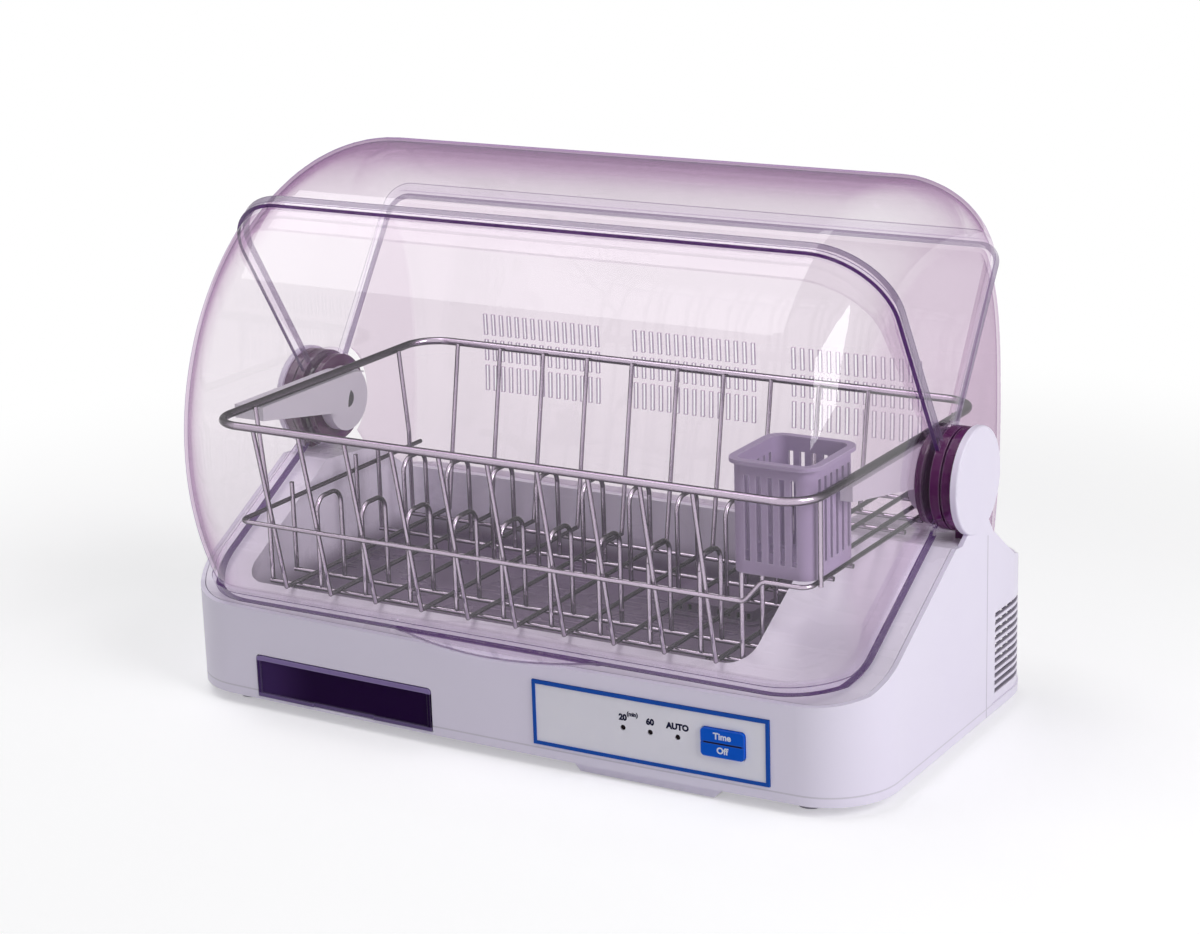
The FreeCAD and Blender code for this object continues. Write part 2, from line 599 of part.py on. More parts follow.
def blower_housing():
    low, high = blower_z(BLOWER_H[0]), blower_z(BLOWER_H[1])
    outlet_y = (DUCT_Y[0], DUCT_Y[1])
    case = rod((BLOWER_X, BLOWER_Y, low), (BLOWER_X, BLOWER_Y, high), BLOWER_R + 2)
    neck_top = duct_z()[1] - 0.4
    neck = box((DUCT_X[1], BLOWER_X), outlet_y, (low, neck_top))
    room = rod((BLOWER_X, BLOWER_Y, low + 2), (BLOWER_X, BLOWER_Y, high - 2), BLOWER_R)
    passage = box((DUCT_X[1] - 1, BLOWER_X), (outlet_y[0] + 2, outlet_y[1] - 2), (low + 2, neck_top - 2))
    case = fuse([case, neck]).cut(fuse([room, passage]))
    case = case.cut(rod((BLOWER_X, BLOWER_Y, low - 1), (BLOWER_X, BLOWER_Y, low + 3), SHAFT_R + 4))
    case = case.cut(rod((BLOWER_X, BLOWER_Y, high - 3), (BLOWER_X, BLOWER_Y, high + 1), IMPELLER_R - 8))
    legs = []
    for angle in (45, 225, 315):
        x = BLOWER_X + (BLOWER_R - 2) * math.cos(math.radians(angle))
        y = BLOWER_Y + (BLOWER_R - 2) * math.sin(math.radians(angle))
        legs.append(rod((x, y, PAN_Z + PAN_T), (x, y, low + 1), 3.5))
    return fuse([case] + legs)


def duct_z():
    return (blower_z(BLOWER_H[0]), PAN_Z + BASIN_FLOOR_H - DECK_T)


def air_duct():
    z = duct_z()
    outer = box(DUCT_X, DUCT_Y, z)
    inner_y = (DUCT_Y[0] + DUCT_T, DUCT_Y[1] - DUCT_T)
    inner = box((DUCT_X[0] + DUCT_T, DUCT_X[1] + 1), inner_y, (z[0] + DUCT_T, z[1] - DUCT_T))
    mouth = rounded_box(grille_x(), grille_y(), (z[1] - 5, z[1] + 5), GRILLE_R)
    feet = []
    for x in (DUCT_X[0] + 15, DUCT_X[1] - 40):
        feet.append(box((x, x + 6), (DUCT_Y[0] + 10, DUCT_Y[1] - 10), (PAN_Z + PAN_T, z[0] + 1)))
    return fuse([outer] + feet).cut(inner).cut(mouth)


def heater_element():
    z = duct_z()
    x = [DUCT_X[0] + along for along in HEATER_ALONG]
    y = (DUCT_Y[0] + DUCT_T, DUCT_Y[1] - DUCT_T)
    body = box(x, y, (z[0] + DUCT_T, z[1] - DUCT_T))
    pitch = (y[1] - y[0] - 4) / HEATER_GAPS
    for index in range(HEATER_GAPS):
        start = y[0] + 2.6 + index * pitch
        gap_z = (z[0] + DUCT_T + 2, z[1] - DUCT_T - 2)
        body = body.cut(box((x[0] - 1, x[1] + 1), (start, start + pitch - 1.2), gap_z))
    return body


def thermal_cutout():
    z = duct_z()
    x = DUCT_X[0] + sum(HEATER_ALONG) / 2
    y = DUCT_Y[0]
    can = rod((x, y - 6, z[0] + 10), (x, y, z[0] + 10), 7.0)
    tabs = [box((x + s - 2, x + s + 2), (y - 13, y - 5), (z[0] + 9.6, z[0] + 10.4)) for s in (-4, 4)]
    return fuse([can] + tabs)


def air_grille():
    x, y = grille_x(), grille_y()
    floor = PAN_Z + BASIN_FLOOR_H
    top = floor + GRILLE_H
    rim_x, rim_y = ((low - GRILLE_RIM, high + GRILLE_RIM) for low, high in (x, y))
    rim = rounded_box(rim_x, rim_y, (floor, floor + 1.5), GRILLE_R + 3)
    dome_x, dome_y = ((low + 0.4, high - 0.4) for low, high in (x, y))
    dome = rounded_box(dome_x, dome_y, (floor - DECK_T, top), GRILLE_R)
    hollow_x, hollow_y = ((low + 2.2, high - 2.2) for low, high in (x, y))
    hollow = rounded_box(hollow_x, hollow_y, (floor - 10, top - 1.8), GRILLE_R - 1)
    grille = fuse([rim, dome]).cut(hollow)
    pitch = (x[1] - x[0]) / GRILLE_SLOTS
    for index in range(GRILLE_SLOTS):
        middle = x[0] + (index + 0.5) * pitch
        slot_x = (middle - GRILLE_SLOT_W / 2, middle + GRILLE_SLOT_W / 2)
        grille = grille.cut(box(slot_x, (y[0] - 1, y[1] + 1), (floor + 3, top - 1.8)))
    return grille


def terminal_block():
    """Strip with a wire slot and a screw hole for each way."""
    y = (BASE_D - TERMINAL_BACK[0], BASE_D - TERMINAL_BACK[1])
    top = PAN_Z + TERMINAL_H
    strip = box(TERMINAL_X, y, (PAN_Z + PAN_T, top))
    pitch = (TERMINAL_X[1] - TERMINAL_X[0]) / TERMINAL_WAYS
    for index in range(TERMINAL_WAYS):
        x = TERMINAL_X[0] + (index + 0.5) * pitch
        strip = strip.cut(box((x - 3, x + 3), (y[0] - 1, y[0] + 7), (top - 8, top + 2)))
        strip = strip.cut(rod((x, y[1] - 8, top - 6), (x, y[1] - 8, top + 2), 2.5))
    return strip


# ---- hood --------------------------------------------------------------------------------------------
def drum(radius, half, fillet):
    body = axis_disc((-half, half), radius)
    rims = [e for e in body.Edges if isinstance(e.Curve, Part.Circle)]
    return body.makeFillet(fillet, rims)


def drum_shell(radius, half, fillet, thickness):
    return drum(radius, half, fillet).cut(drum(radius - thickness, half - thickness, fillet - thickness))


def edge_band(angle, width):
    """Slab just ahead of a radial plane."""
    start = from_axis(0, 0)
    end = on_axis(angle, REACH)
    turn = math.radians(angle)
    shift = (-width * math.cos(turn), -width * math.sin(turn))
    moved = [(y + shift[0], z + shift[1]) for y, z in (end, start)]
    return side_prism([start, end] + moved, REACH)


def front_cover_line(drop=0.0):
    """Lower edge of the front cover's ends, from the front back to the hub."""
    return [
        (FRONT_Y - 30, LIP_Z + 2.6 - drop),
        (SHOULDER_FRONT_Y, LIP_Z + SHOULDER_FRONT_RISE + 3 - drop),
        (SHOULDER_BACK_Y + 3, FOOT_H + SHOULDER_H + 5.5 - drop),
    ]


def front_cover():
    top = on_axis(FRONT_EDGE, REACH)
    outline = [from_axis(0, 0), top, (FRONT_Y - REACH, top[1])]
    sector = side_prism(outline + [(FRONT_Y - REACH, front_cover_line()[0][1])] + front_cover_line(), REACH)
    shell = drum_shell(COVER_R, COVER_HALF, COVER_FILLET, COVER_T)
    rise = FLANGE_RISE
    rim_shell = drum_shell(COVER_R + rise, COVER_HALF + rise, COVER_FILLET + rise, COVER_T + rise)
    line = front_cover_line()
    lower = side_prism(line + front_cover_line(-FLANGE_W)[::-1], REACH)
    bands = [edge_band(FRONT_EDGE, FLANGE_W), lower]
    clear_of_hub = axis_disc((-REACH, REACH), HUB_R)
    pieces = [shell.common(sector)]
    for band in bands:
        pieces.append(rim_shell.common(band).common(sector).cut(clear_of_hub))
    cheek = axis_disc((COVER_HALF - COVER_T, COVER_HALF), HUB_R + 2)
    pieces += both_sides(cheek)
    pieces.append(finger_lip())
    cover = fuse(pieces)
    return cover.cut(axis_disc((-REACH, REACH), BORE_R))


def finger_lip():
    """Crescent lip under the front edge of the front cover."""
    z = LIP_Z + 11
    root = COVER_R - 1.2
    drop = AXIS_Z - z
    y = AXIS_Y - math.sqrt(root ** 2 - drop ** 2)
    left = Vector(LIP_X - LIP_HALF, y, z)
    right = Vector(LIP_X + LIP_HALF, y, z)
    tip = Vector(LIP_X, y - LIP_DEPTH, z)
    arc = Part.Arc(left, tip, right).toShape()
    crescent = Part.Face(Part.Wire([arc, Part.makeLine(right, left)]))
    lip = crescent.extrude(Vector(0, 0, -2.6))
    lip.rotate(Vector(0, y, z), Vector(1, 0, 0), 24)
    return lip


def front_cover_hubs():
    """Pair of rings on each end of the front cover, with a tab below that stops it when it is shut."""
    end = EAR_IN - END_PLAY
    middle = (COVER_HALF + end) / 2
    ring = axis_ring((COVER_HALF, end), HUB_R)
    groove = axis_ring((middle - HUB_GROOVE / 2, middle + HUB_GROOVE / 2), HUB_R + 1, HUB_R - 2)
    tab = box((middle + HUB_GROOVE / 2, end), (AXIS_Y - TAB_W, AXIS_Y), (AXIS_Z - HUB_R - TAB_DEPTH, AXIS_Z))
    tab = tab.cut(axis_disc((COVER_HALF, end), HUB_R - 2))
    return Part.makeCompound(both_sides(fuse([ring.cut(groove), tab])))


def u_section(angle, radius, half, fillet, thickness):
    """Closed wire of a shell's cut face: across the barrel and down both ends."""
    root = HUB_R - 1

    def point(x, r):
        y, z = on_axis(angle, r)
        return Vector(x, y, z)

    def run(r, h, f):
        diagonal = f * (1 - math.sqrt(0.5))
        knots = [point(-h, root), point(-h, r - f), point(-h + diagonal, r - diagonal), point(-h + f, r)]
        knots += [point(h - f, r), point(h - diagonal, r - diagonal), point(h, r - f), point(h, root)]
        return knots

    outer = run(radius, half, fillet)
    inner = run(radius - thickness, half - thickness, fillet - thickness)[::-1]
    edges = []
    for side in (outer, inner):
        edges += [Part.makeLine(*side[0:2]), Part.Arc(*side[1:4]).toShape()]
        edges += [Part.makeLine(*side[3:5]), Part.Arc(*side[4:7]).toShape(), Part.makeLine(*side[6:8])]
    edges.insert(5, Part.makeLine(outer[-1], inner[0]))
    edges.append(Part.makeLine(inner[-1], outer[0]))
    return Part.Wire(edges)


def middle_cover():
    shell = drum_shell(MIDDLE_R, MIDDLE_HALF, MIDDLE_FILLET, COVER_T)
    ahead = on_axis(FRONT_EDGE + OVERLAP, REACH)
    behind = on_axis(MIDDLE_ROUND_END, REACH)
    sector = side_prism([from_axis(0, 0), ahead, behind], REACH)
    steps = ((0.0, 0.0), (0.5, 0.3), (1.0, 1.0))
    sections = []
    for along, fall in steps:
        angle = MIDDLE_ROUND_END + along * (MIDDLE_REAR_EDGE - MIDDLE_ROUND_END)
        radius = MIDDLE_R + fall * (MIDDLE_REAR_R - MIDDLE_R)
        fillet = MIDDLE_FILLET + along * (MIDDLE_REAR_FILLET - MIDDLE_FILLET)
        sections.append(u_section(angle, radius, MIDDLE_HALF, fillet, COVER_T))
    fall_back = Part.makeLoft(sections, True, False)
    rim = []
    rise = 1.6
    half = MIDDLE_HALF + rise * 0.6
    for angle in (MIDDLE_REAR_EDGE + 2.6, MIDDLE_REAR_EDGE):
        rim.append(u_section(angle, MIDDLE_REAR_R + rise, half, MIDDLE_REAR_FILLET + 1, COVER_T + rise))
    rear_rim = Part.makeLoft(rim, True, True)
    cheek = axis_disc((MIDDLE_HALF - COVER_T, MIDDLE_HALF), HUB_R)
    cover = fuse([shell.common(sector), fall_back, rear_rim] + both_sides(cheek))
    return cover.cut(axis_disc((-REACH, REACH), BORE_R))


def middle_cover_hubs():
    outer = MIDDLE_HALF - COVER_T
    ring = axis_ring((outer - HUB_LENGTH, outer), HUB_R - 2)
    return Part.makeCompound(both_sides(ring))


def rear_outline(inset=0.0):
    """Rear cover seen from the side, from the axis over the top and down the back wall."""
    out = REAR_WALL_OUT - inset
    top = (REAR_TOP[0] - inset, REAR_TOP[1] - inset * 0.7)
    foot = (BASE_D - REAR_FOOT_IN - AXIS_Y - inset, PAN_Z + REAR_WALL_H - AXIS_Z)
    return [top, (out - 6.5, 88.0), (out, 40.0), (out, -8.0), (out - 4.0, -45.0), foot]


def rear_solid(half, inset, fillet, extend=0.0):
    crown = [Vector(-half, *from_axis(*p)) for p in rear_outline(inset)]
    wall = Part.BSplineCurve()
    wall.interpolate(crown)
    lead = (-extend * 0.58, extend * 0.82)
    start = Vector(-half, *from_axis(*lead))
    lift = Vector(-half, crown[0].y + lead[0], crown[0].z + lead[1])
    under = Vector(-half, crown[-1].y, crown[-1].z - extend)
    near, shelf = (Vector(-half, y, z + 0.4 - extend) for y, z in side_profile()[3:5])
    knots = [crown[-1], under, shelf, near, start, lift, crown[0]]
    edges = [wall.toShape()]
    for first, second in zip(knots, knots[1:]):
        if (second - first).Length > 1e-6:
            edges.append(Part.makeLine(first, second))
    body = Part.Face(Part.Wire(edges)).extrude(Vector(2 * half, 0, 0))
    ends = [e for e in body.Edges if isinstance(e.Curve, Part.BSplineCurve) and e.Length > 50]
    return body.makeFillet(fillet, ends)


def rear_cover():
    outer = rear_solid(REAR_HALF, 0.0, REAR_FILLET)
    inner = rear_solid(REAR_HALF - COVER_T, COVER_T, REAR_FILLET - COVER_T, 12.0)
    cover = outer.cut(inner)
    cover = cover.cut(axis_disc((-REACH, REACH), HUB_R + 4))
    for row in VENT_ROWS:
        z = (PAN_Z + row[0], PAN_Z + row[1])
        slots = []
        for centre in VENT_GROUPS:
            for index in range(VENT_COUNT):
                x = centre + (index - (VENT_COUNT - 1) / 2) * VENT_PITCH
                slots.append(box((x - VENT_W / 2, x + VENT_W / 2), (AXIS_Y + 60, AXIS_Y + 130), z))
        cover = cover.cut(Part.makeCompound(slots))
    return cover


def pivot_pins():
    inner = MIDDLE_HALF - COVER_T - HUB_LENGTH - END_PLAY - ARM_T
    pin = axis_disc((inner, EAR_IN), PIN_R)
    return Part.makeCompound(both_sides(pin))


def rack_arms():
    """Arms on the pins; the rack's top rail lies on them."""
    outer = MIDDLE_HALF - COVER_T - HUB_LENGTH - END_PLAY
    top = level(RAIL_H) - RAIL_R - REST_GAP
    outline = [
        (AXIS_Y + 6, AXIS_Z + 20), (AXIS_Y - 12, top), (ARM_FRONT_Y, top), (ARM_FRONT_Y, top - 9),
        (AXIS_Y - 24, AXIS_Z - 2), (AXIS_Y - 4, AXIS_Z + 8),
    ]
    arms = []
    for side, rail_x in ((-1, -RACK_X[0]), (1, RACK_X[1])):
        inner = min(outer - ARM_T, rail_x - RAIL_R - 1)
        hub = axis_ring((outer - ARM_T, outer), ARM_HUB_R, PIN_R)
        bar = side_prism(outline, HALF_W).common(box((inner, outer), (0, REACH), (0, REACH)))
        arm = fuse([hub, bar.cut(axis_disc((0, REACH), ARM_HUB_R - 1))])
        arms.append(arm if side > 0 else mirrored(arm))
    return Part.makeCompound(arms)


# ---- rack --------------------------------------------------------------------------------------------
def level(height):
    """Height above the table of a level given from the pan's underside."""
    return PAN_Z + height


def wire_run(points, radius, corner, closed=False):
    """Wire through points: straight lengths and round elbows, end face to end face."""
    knots = [Vector(*p) for p in points]
    bends = range(len(knots)) if closed else range(1, len(knots) - 1)
    pieces, starts, ends = [], {}, {}
    for index in bends:
        bend = knots[index]
        arrive = (bend - knots[index - 1]).normalize()
        leave = (knots[(index + 1) % len(knots)] - bend).normalize()
        turn = arrive.getAngle(leave)
        setback = corner * math.tan(turn / 2)
        ends[index] = bend - arrive * setback
        starts[index] = bend + leave * setback
        hinge = arrive.cross(leave).normalize()
        centre = ends[index] + hinge.cross(arrive) * corner
        disc = Part.Face(Part.Wire([Part.makeCircle(radius, ends[index], arrive)]))
        pieces.append(disc.revolve(centre, hinge, math.degrees(turn)))
    last = len(knots) if closed else len(knots) - 1
    for index in range(last):
        following = (index + 1) % len(knots)
        pieces.append(rod(starts.get(index, knots[index]), ends.get(following, knots[following]), radius))
    return pieces


def front_lean(height):
    """Depth of the rack's leaning front wires at a height."""
    share = (height - FLOOR_H) / (RAIL_H - FLOOR_H)
    return FLOOR_Y[0] + share * (RACK_Y[0] + RAIL_R + WIRE_R - FLOOR_Y[0])


def rear_lean(height):
    share = (height - FLOOR_H) / (RAIL_H - FLOOR_H)
    return FLOOR_Y[1] + share * (RACK_Y[1] - RAIL_R - WIRE_R - FLOOR_Y[1])


def upright_xs():
    """Places of the rack's bars, set out from the right end of its deep part."""
    first, last = DEEP_X[1] - 12, DEEP_X[0] + 18
    count = int((first - last) / UPRIGHT_PITCH)
    return [first - index * UPRIGHT_PITCH for index in range(count + 1)]


def rack_top_rail():
    z = level(RAIL_H)
    front = [(x, RACK_Y[0], z) for x in RACK_X]
    rear = [(x, RACK_Y[1], z) for x in RACK_X[::-1]]
    corners = front + rear
    return Part.makeCompound(wire_run(corners, RAIL_R, RAIL_CORNER, True))


def side_bar_x():
    """Upright bars at the right, just inside the top rail."""
    return RACK_X[1] - RAIL_R - WIRE_R


def mid_rail_line():
    """Rail round the front, stepping up to the shelf at the right."""
    left, right = DEEP_X[0] - WIRE_R, side_bar_x() - 2 * WIRE_R
    front = front_lean(MID_H) - 2 * WIRE_R
    low, high = level(MID_H), level(SHELF_H)
    return [
        (left, rear_lean(MID_H) - 4, low), (left, front, low), (DEEP_X[1] + 14, front, low),
        (DEEP_X[1] + 26, front, high), (right, front, high), (right, rear_lean(SHELF_H), high),
    ]


def rack_mid_rail():
    return Part.makeCompound(wire_run(mid_rail_line(), WIRE_R, 7.0))


def rack_front_bars():
    bars = []
    for x in upright_xs():
        foot = (x, FLOOR_Y[0], level(FLOOR_H))
        bar = rod((x, front_lean(RAIL_H), level(RAIL_H)), foot, WIRE_R)
        bars.append(fuse([bar, Part.makeSphere(WIRE_R, Vector(*foot))]))
    return Part.makeCompound(bars)


def rack_rear_bars():
    bars = []
    for x in upright_xs():
        foot = (x, FLOOR_Y[1], level(FLOOR_H))
        bar = rod((x, rear_lean(RAIL_H), level(RAIL_H)), foot, WIRE_R)
        bars.append(fuse([bar, Part.makeSphere(WIRE_R, Vector(*foot))]))
    return Part.makeCompound(bars)


def rack_floor_bars():
    z = level(FLOOR_H)
    ends = (FLOOR_Y[0] + WIRE_R, FLOOR_Y[1] - WIRE_R)
    return Part.makeCompound([rod((x, ends[0], z), (x, ends[1], z), WIRE_R) for x in upright_xs()])


def cross_ys():
    """Cross bars: a pair under each row of dividers and one at the back."""
    pairs = [y + step for y in DIVIDER_ROWS for step in (0, DIVIDER_SPAN)]
    return pairs + [FLOOR_Y[1] - 14]


def rack_cross_bars():
    z = level(FLOOR_H) - 2 * WIRE_R
    return Part.makeCompound([rod((DEEP_X[0], y, z), (DEEP_X[1], y, z), WIRE_R) for y in cross_ys()])


def rack_end_bars():
    """Bars at both ends of the deep part, from the cross bars up to the rails."""
    bars = []
    low = level(FLOOR_H) - WIRE_R
    for y in cross_ys():
        left = DEEP_X[0] + WIRE_R
        bars.append(rod((left, y, low), (left, y, level(MID_H) + 12), WIRE_R))
        bars.append(rod((DEEP_X[1] - WIRE_R, y, low), (DEEP_X[1] - WIRE_R, y, level(SHELF_H)), WIRE_R))
    for y in (cross_ys()[0], cross_ys()[-1]):
        start = (DEEP_X[0] + WIRE_R, y, level(MID_H) + 12)
        bars.append(rod(start, (RACK_X[0] + RAIL_R + WIRE_R, y, level(RAIL_H)), WIRE_R))
    return Part.makeCompound(bars)


def rack_shelf():
    """Raised wire shelf at the right, over the base's wide shoulder."""
    top = level(SHELF_H)
    span = (DEEP_X[1] - 3 * WIRE_R, side_bar_x() - WIRE_R)
    ys = [y + 2 * WIRE_R for y in cross_ys()]
    bars = [rod((span[0], y, top - 2 * WIRE_R), (span[1], y, top - 2 * WIRE_R), WIRE_R) for y in ys]
    for x in (DEEP_X[1] + 14, DEEP_X[1] + 29, DEEP_X[1] + 44):
        bars.append(rod((x, ys[0] - 4, top), (x, ys[-1] + 4, top), WIRE_R))
    for y in (RACK_Y[0] + RAIL_CORNER + 4, ys[-1] + 4):
        bars.append(rod((side_bar_x(), y, top - WIRE_R), (side_bar_x(), y, level(RAIL_H)), WIRE_R))
    return Part.makeCompound(bars)


def rack_dividers():
    """Hairpins that keep the plates apart, standing on the cross bars."""
    hairpins = []
    low = level(FLOOR_H) - WIRE_R
    top = level(FLOOR_H) + DIVIDER_RISE
    xs = upright_xs()
    for left, right in zip(xs[1:], xs):
        x = (left + right) / 2
        for y in DIVIDER_ROWS:
            back = y + DIVIDER_SPAN
            line = [(x, y, low), (x, y, top), (x, back, top), (x, back, low)]
            hairpins.append(fuse(wire_run(line, WIRE_R, 9.0)))
    return Part.makeCompound(hairpins)


def rack_legs():
    legs = []
    top = level(FLOOR_H) - 3 * WIRE_R
    for x in LEG_X:
        for y in (cross_ys()[0], cross_ys()[-1]):
            floor = level(BASIN_FLOOR_H)
            foot = Part.makeCone(WIRE_R + 2.0, WIRE_R + 0.8, 5.0, Vector(x, y, floor))
            leg = rod((x, y, floor + 3), (x, y, top), WIRE_R)
            legs.append(fuse([leg, foot]))
    return Part.makeCompound(legs)


# ---- cutlery holder ----------------------------------------------------------------------------------
def cutlery_holder():
    """Slotted cup with a rim and a narrower foot, standing on the raised shelf."""
    foot_z = level(SHELF_H) + WIRE_R + REST_GAP
    top = level(HOLDER_TOP_H)
    body = rounded_box(HOLDER_X, HOLDER_Y, (foot_z, top), HOLDER_R)
    rim_x, rim_y = ((low - HOLDER_RIM, high + HOLDER_RIM) for low, high in (HOLDER_X, HOLDER_Y))
    rim = rounded_box(rim_x, rim_y, (top - 2.5, top), HOLDER_R + HOLDER_RIM)
    inside_x, inside_y = ((low + HOLDER_T, high - HOLDER_T) for low, high in (HOLDER_X, HOLDER_Y))
    inside = rounded_box(inside_x, inside_y, (foot_z + HOLDER_T, top + 1), HOLDER_R - HOLDER_T)
    cup = fuse([body, rim]).cut(inside)
    slots = []
    slot_z = (foot_z + HOLDER_SLOT_ENDS[0], top - HOLDER_SLOT_ENDS[1])
    for axis, span in ((0, HOLDER_X), (1, HOLDER_Y)):
        count = int((span[1] - span[0] - 2 * HOLDER_R) / HOLDER_SLOT_PITCH) + 1
        for index in range(count):
            at = sum(span) / 2 + (index - (count - 1) / 2) * HOLDER_SLOT_PITCH
            across = (at - HOLDER_SLOT_W / 2, at + HOLDER_SLOT_W / 2)
            if axis == 0:
                slots.append(box(across, (HOLDER_Y[0] - 5, HOLDER_Y[1] + 5), slot_z))
            else:
                slots.append(box((HOLDER_X[0] - 5, HOLDER_X[1] + 5), across, slot_z))
    for x in spread(HOLDER_X, HOLDER_HOLE_IN, HOLDER_HOLES):
        for y in spread(HOLDER_Y, HOLDER_HOLE_IN, HOLDER_HOLES):
            slots.append(rod((x, y, foot_z - 1), (x, y, foot_z + HOLDER_T + 1), HOLDER_HOLE_R))
    return cup.cut(Part.makeCompound(slots))


# ---- export ------------------------------------------------------------------------------------------
PIECES = (
    base_housing, rear_housing, bottom_plate, drip_deck, rubber_feet, case_screws, cord_gland,
    drip_drawer, drawer_guides,
    control_bezel, control_label, time_button, indicator_lenses, control_board,
    blower_housing, fan_motor, fan_impeller, air_duct, heater_element, thermal_cutout, air_grille,
    terminal_block,
    front_cover, front_cover_hubs, middle_cover, middle_cover_hubs, rear_cover, pivot_pins, rack_arms,
    rack_top_rail, rack_mid_rail, rack_front_bars, rack_rear_bars, rack_floor_bars, rack_cross_bars,
    rack_end_bars, rack_shelf, rack_dividers, rack_legs, cutlery_holder,
)

MIDDLE_Y = (FRONT_Y + BASE_D - SEAM_GROOVE + GLAND_OUT) / 2

for piece in PIECES:
    piece().translated(Vector(0, -MIDDLE_Y, 0)).exportStep("parts/" + piece.__name__ + ".step")
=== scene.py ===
"""Looks of the dish sterilizer cabinet: finishes, printed panel, floor, light and camera.

Metres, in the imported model's own frame: the front faces -Y and the origin is under the cabinet.
"""
import math

import bpy
from mathutils import Matrix, Vector


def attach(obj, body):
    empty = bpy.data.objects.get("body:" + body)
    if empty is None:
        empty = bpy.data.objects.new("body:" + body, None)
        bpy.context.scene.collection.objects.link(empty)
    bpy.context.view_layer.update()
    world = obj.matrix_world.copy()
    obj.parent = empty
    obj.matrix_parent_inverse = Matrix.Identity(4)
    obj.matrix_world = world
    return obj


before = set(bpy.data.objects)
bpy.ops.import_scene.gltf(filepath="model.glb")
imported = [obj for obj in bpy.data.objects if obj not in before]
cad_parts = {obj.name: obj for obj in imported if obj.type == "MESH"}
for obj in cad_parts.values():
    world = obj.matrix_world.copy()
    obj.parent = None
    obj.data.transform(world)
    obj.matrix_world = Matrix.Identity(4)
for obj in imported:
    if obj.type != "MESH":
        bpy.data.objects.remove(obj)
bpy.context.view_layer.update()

bpy.ops.object.select_all(action="DESELECT")

MM = 0.001

# ---- places on the cabinet -----------------------------------------------------------------------
# Hood
HOOD_AXIS = (0.0, 36.8 * MM, 167.0 * MM)
FRONT_EDGE_ANGLE = math.radians(31.0)       # upper rim of the front cover, forward of upright
MIDDLE_REAR_ANGLE = math.radians(-34.5)     # rear rim of the middle cover
RIM_W = 8.0 * MM
LOW_RIM_W = 7.2 * MM                        # rim along the front cover's lower edge
RIM_BAND = (RIM_W + 1.0 * MM, RIM_W)        # where a rim's clear band fades in
GENTLE_EDGE = (6.9 / 79.0, 85.08 * MM)      # lower edge of the front cover: slope, height at y = 0
STEEP_EDGE = (61.0 / 108.0, 131.96 * MM)    # and where it climbs to the ear
VENT_HALF_W = 200.0 * MM                    # the vent slots lie within this of the middle

# Finger lip of the front cover, outside LIP_START from the hood's axis
LIP_START = 187.0 * MM
LIP_TILT = 1.0 / math.cos(math.radians(24.0))    # length along its slope over depth
LIP_MIDDLE_X = 5.0 * MM
LIP_MIDDLE_ALONG = 98.8 * MM                # centre of its curved edge, along its slope
LIP_RADIUS = 248.3 * MM

# Base
SEAM_Z, SEAM_Y = 13.0 * MM, 54.8 * MM       # joints with the pan and with the rear part
SEAM_TOP = 127.0 * MM                       # the ear's disc covers the upright joint above this
LOUVRE_Y = SEAM_Y + 4.0 * MM
LOUVRE_Z = (SEAM_Z + 2.0 * MM, 75.0 * MM)
BASIN_PAINTED_SHADE_Z = (76.0 * MM, 54.0 * MM)      # the basin's painted shade comes in between these heights

# Drawer
DRAWER_LEFT = -183.0 * MM
DRAWER_PAINTED_LIGHT_W = 48.0 * MM                   # painted light on its left end, where its lit side wall shows through
DRAWER_TOP_PAINTED_LIGHT_Z = (33.7 * MM, 34.3 * MM)    # painted light on its top rim comes in between these heights
# painted light on its foot rim comes in between these heights
DRAWER_FOOT_PAINTED_LIGHT_Z = (12.2 * MM, 11.6 * MM)
DRAWER_FACE_Y = (-117.0 * MM, -118.0 * MM)  # and between these depths

# Front face and control panel
FRONT_FACE_Y = -123.2 * MM                  # middle of the bowed front face
BOW_RADIUS = 6.2525
LABEL_PROUD = 0.4 * MM                      # label's face ahead of the base
BUTTON_PROUD = 2.2 * MM                     # button's face ahead of the base
BUTTON_MIDDLE = (159.25 * MM, 37.75 * MM)
GROOVE_HALF_LENGTH = (12.8 * MM, 12.2 * MM)     # the navy line in its groove ends between these
INK = 0.06 * MM
CAP_HEIGHT = 0.70                           # height of a capital in the font, as a share of its size

# ---- lines ---------------------------------------------------------------------------------------
# Half widths, first where a line is gone and then where it is full.
LOW_SEAM_LINE = (0.7 * MM, 0.3 * MM)
BACK_SEAM_LINE = (0.8 * MM, 0.3 * MM)
GROOVE_LINE = (0.65 * MM, 0.40 * MM)
# painted shade along the lip's root, where it meets the cover
LIP_ROOT_PAINTED_SHADE = (0.8 * MM, 0.1 * MM)
LIP_EDGE_LINE = (0.9 * MM, 0.3 * MM)
TWIN_LINE = (0.6 * MM, 0.0)
TWIN_STEP = 2.4 * MM            # from a rim's inner line to its twin
RIM_LINE_W = 0.55 * MM
LOW_RIM_LINE_W = 0.7 * MM
FACE_SLACK = 1.0 * MM           # a rim's cut edges, which point along its plane, count as outside

# ---- colours (linear) ----------------------------------------------------------------------------
BASE_PLASTIC = (0.87, 0.815, 0.97)
# painted shade: dark colour inside the louvre slots, for the shade in their depth
SLOT_PAINTED_SHADE = (0.115, 0.085, 0.135)
DECK_PLASTIC = (0.93, 0.87, 1.0)
# painted shade: the basin's dark colour stands for the shade deep in the basin; the air grille in it
# takes the same
BASIN_PAINTED_SHADE = (0.185, 0.122, 0.220)
HOLDER_PLASTIC = (0.43, 0.33, 0.52)
ARM_PLASTIC = (0.80, 0.76, 0.84)
PALE_RUBBER = (0.50, 0.47, 0.54)
BLACK_RUBBER = (0.02, 0.02, 0.022)
DARK_PLASTIC = (0.03, 0.03, 0.035)
BOARD_GREEN = (0.02, 0.12, 0.05)
DUST = (0.55, 0.53, 0.50)
RUBBED_EDGE = (0.88, 0.87, 0.92)

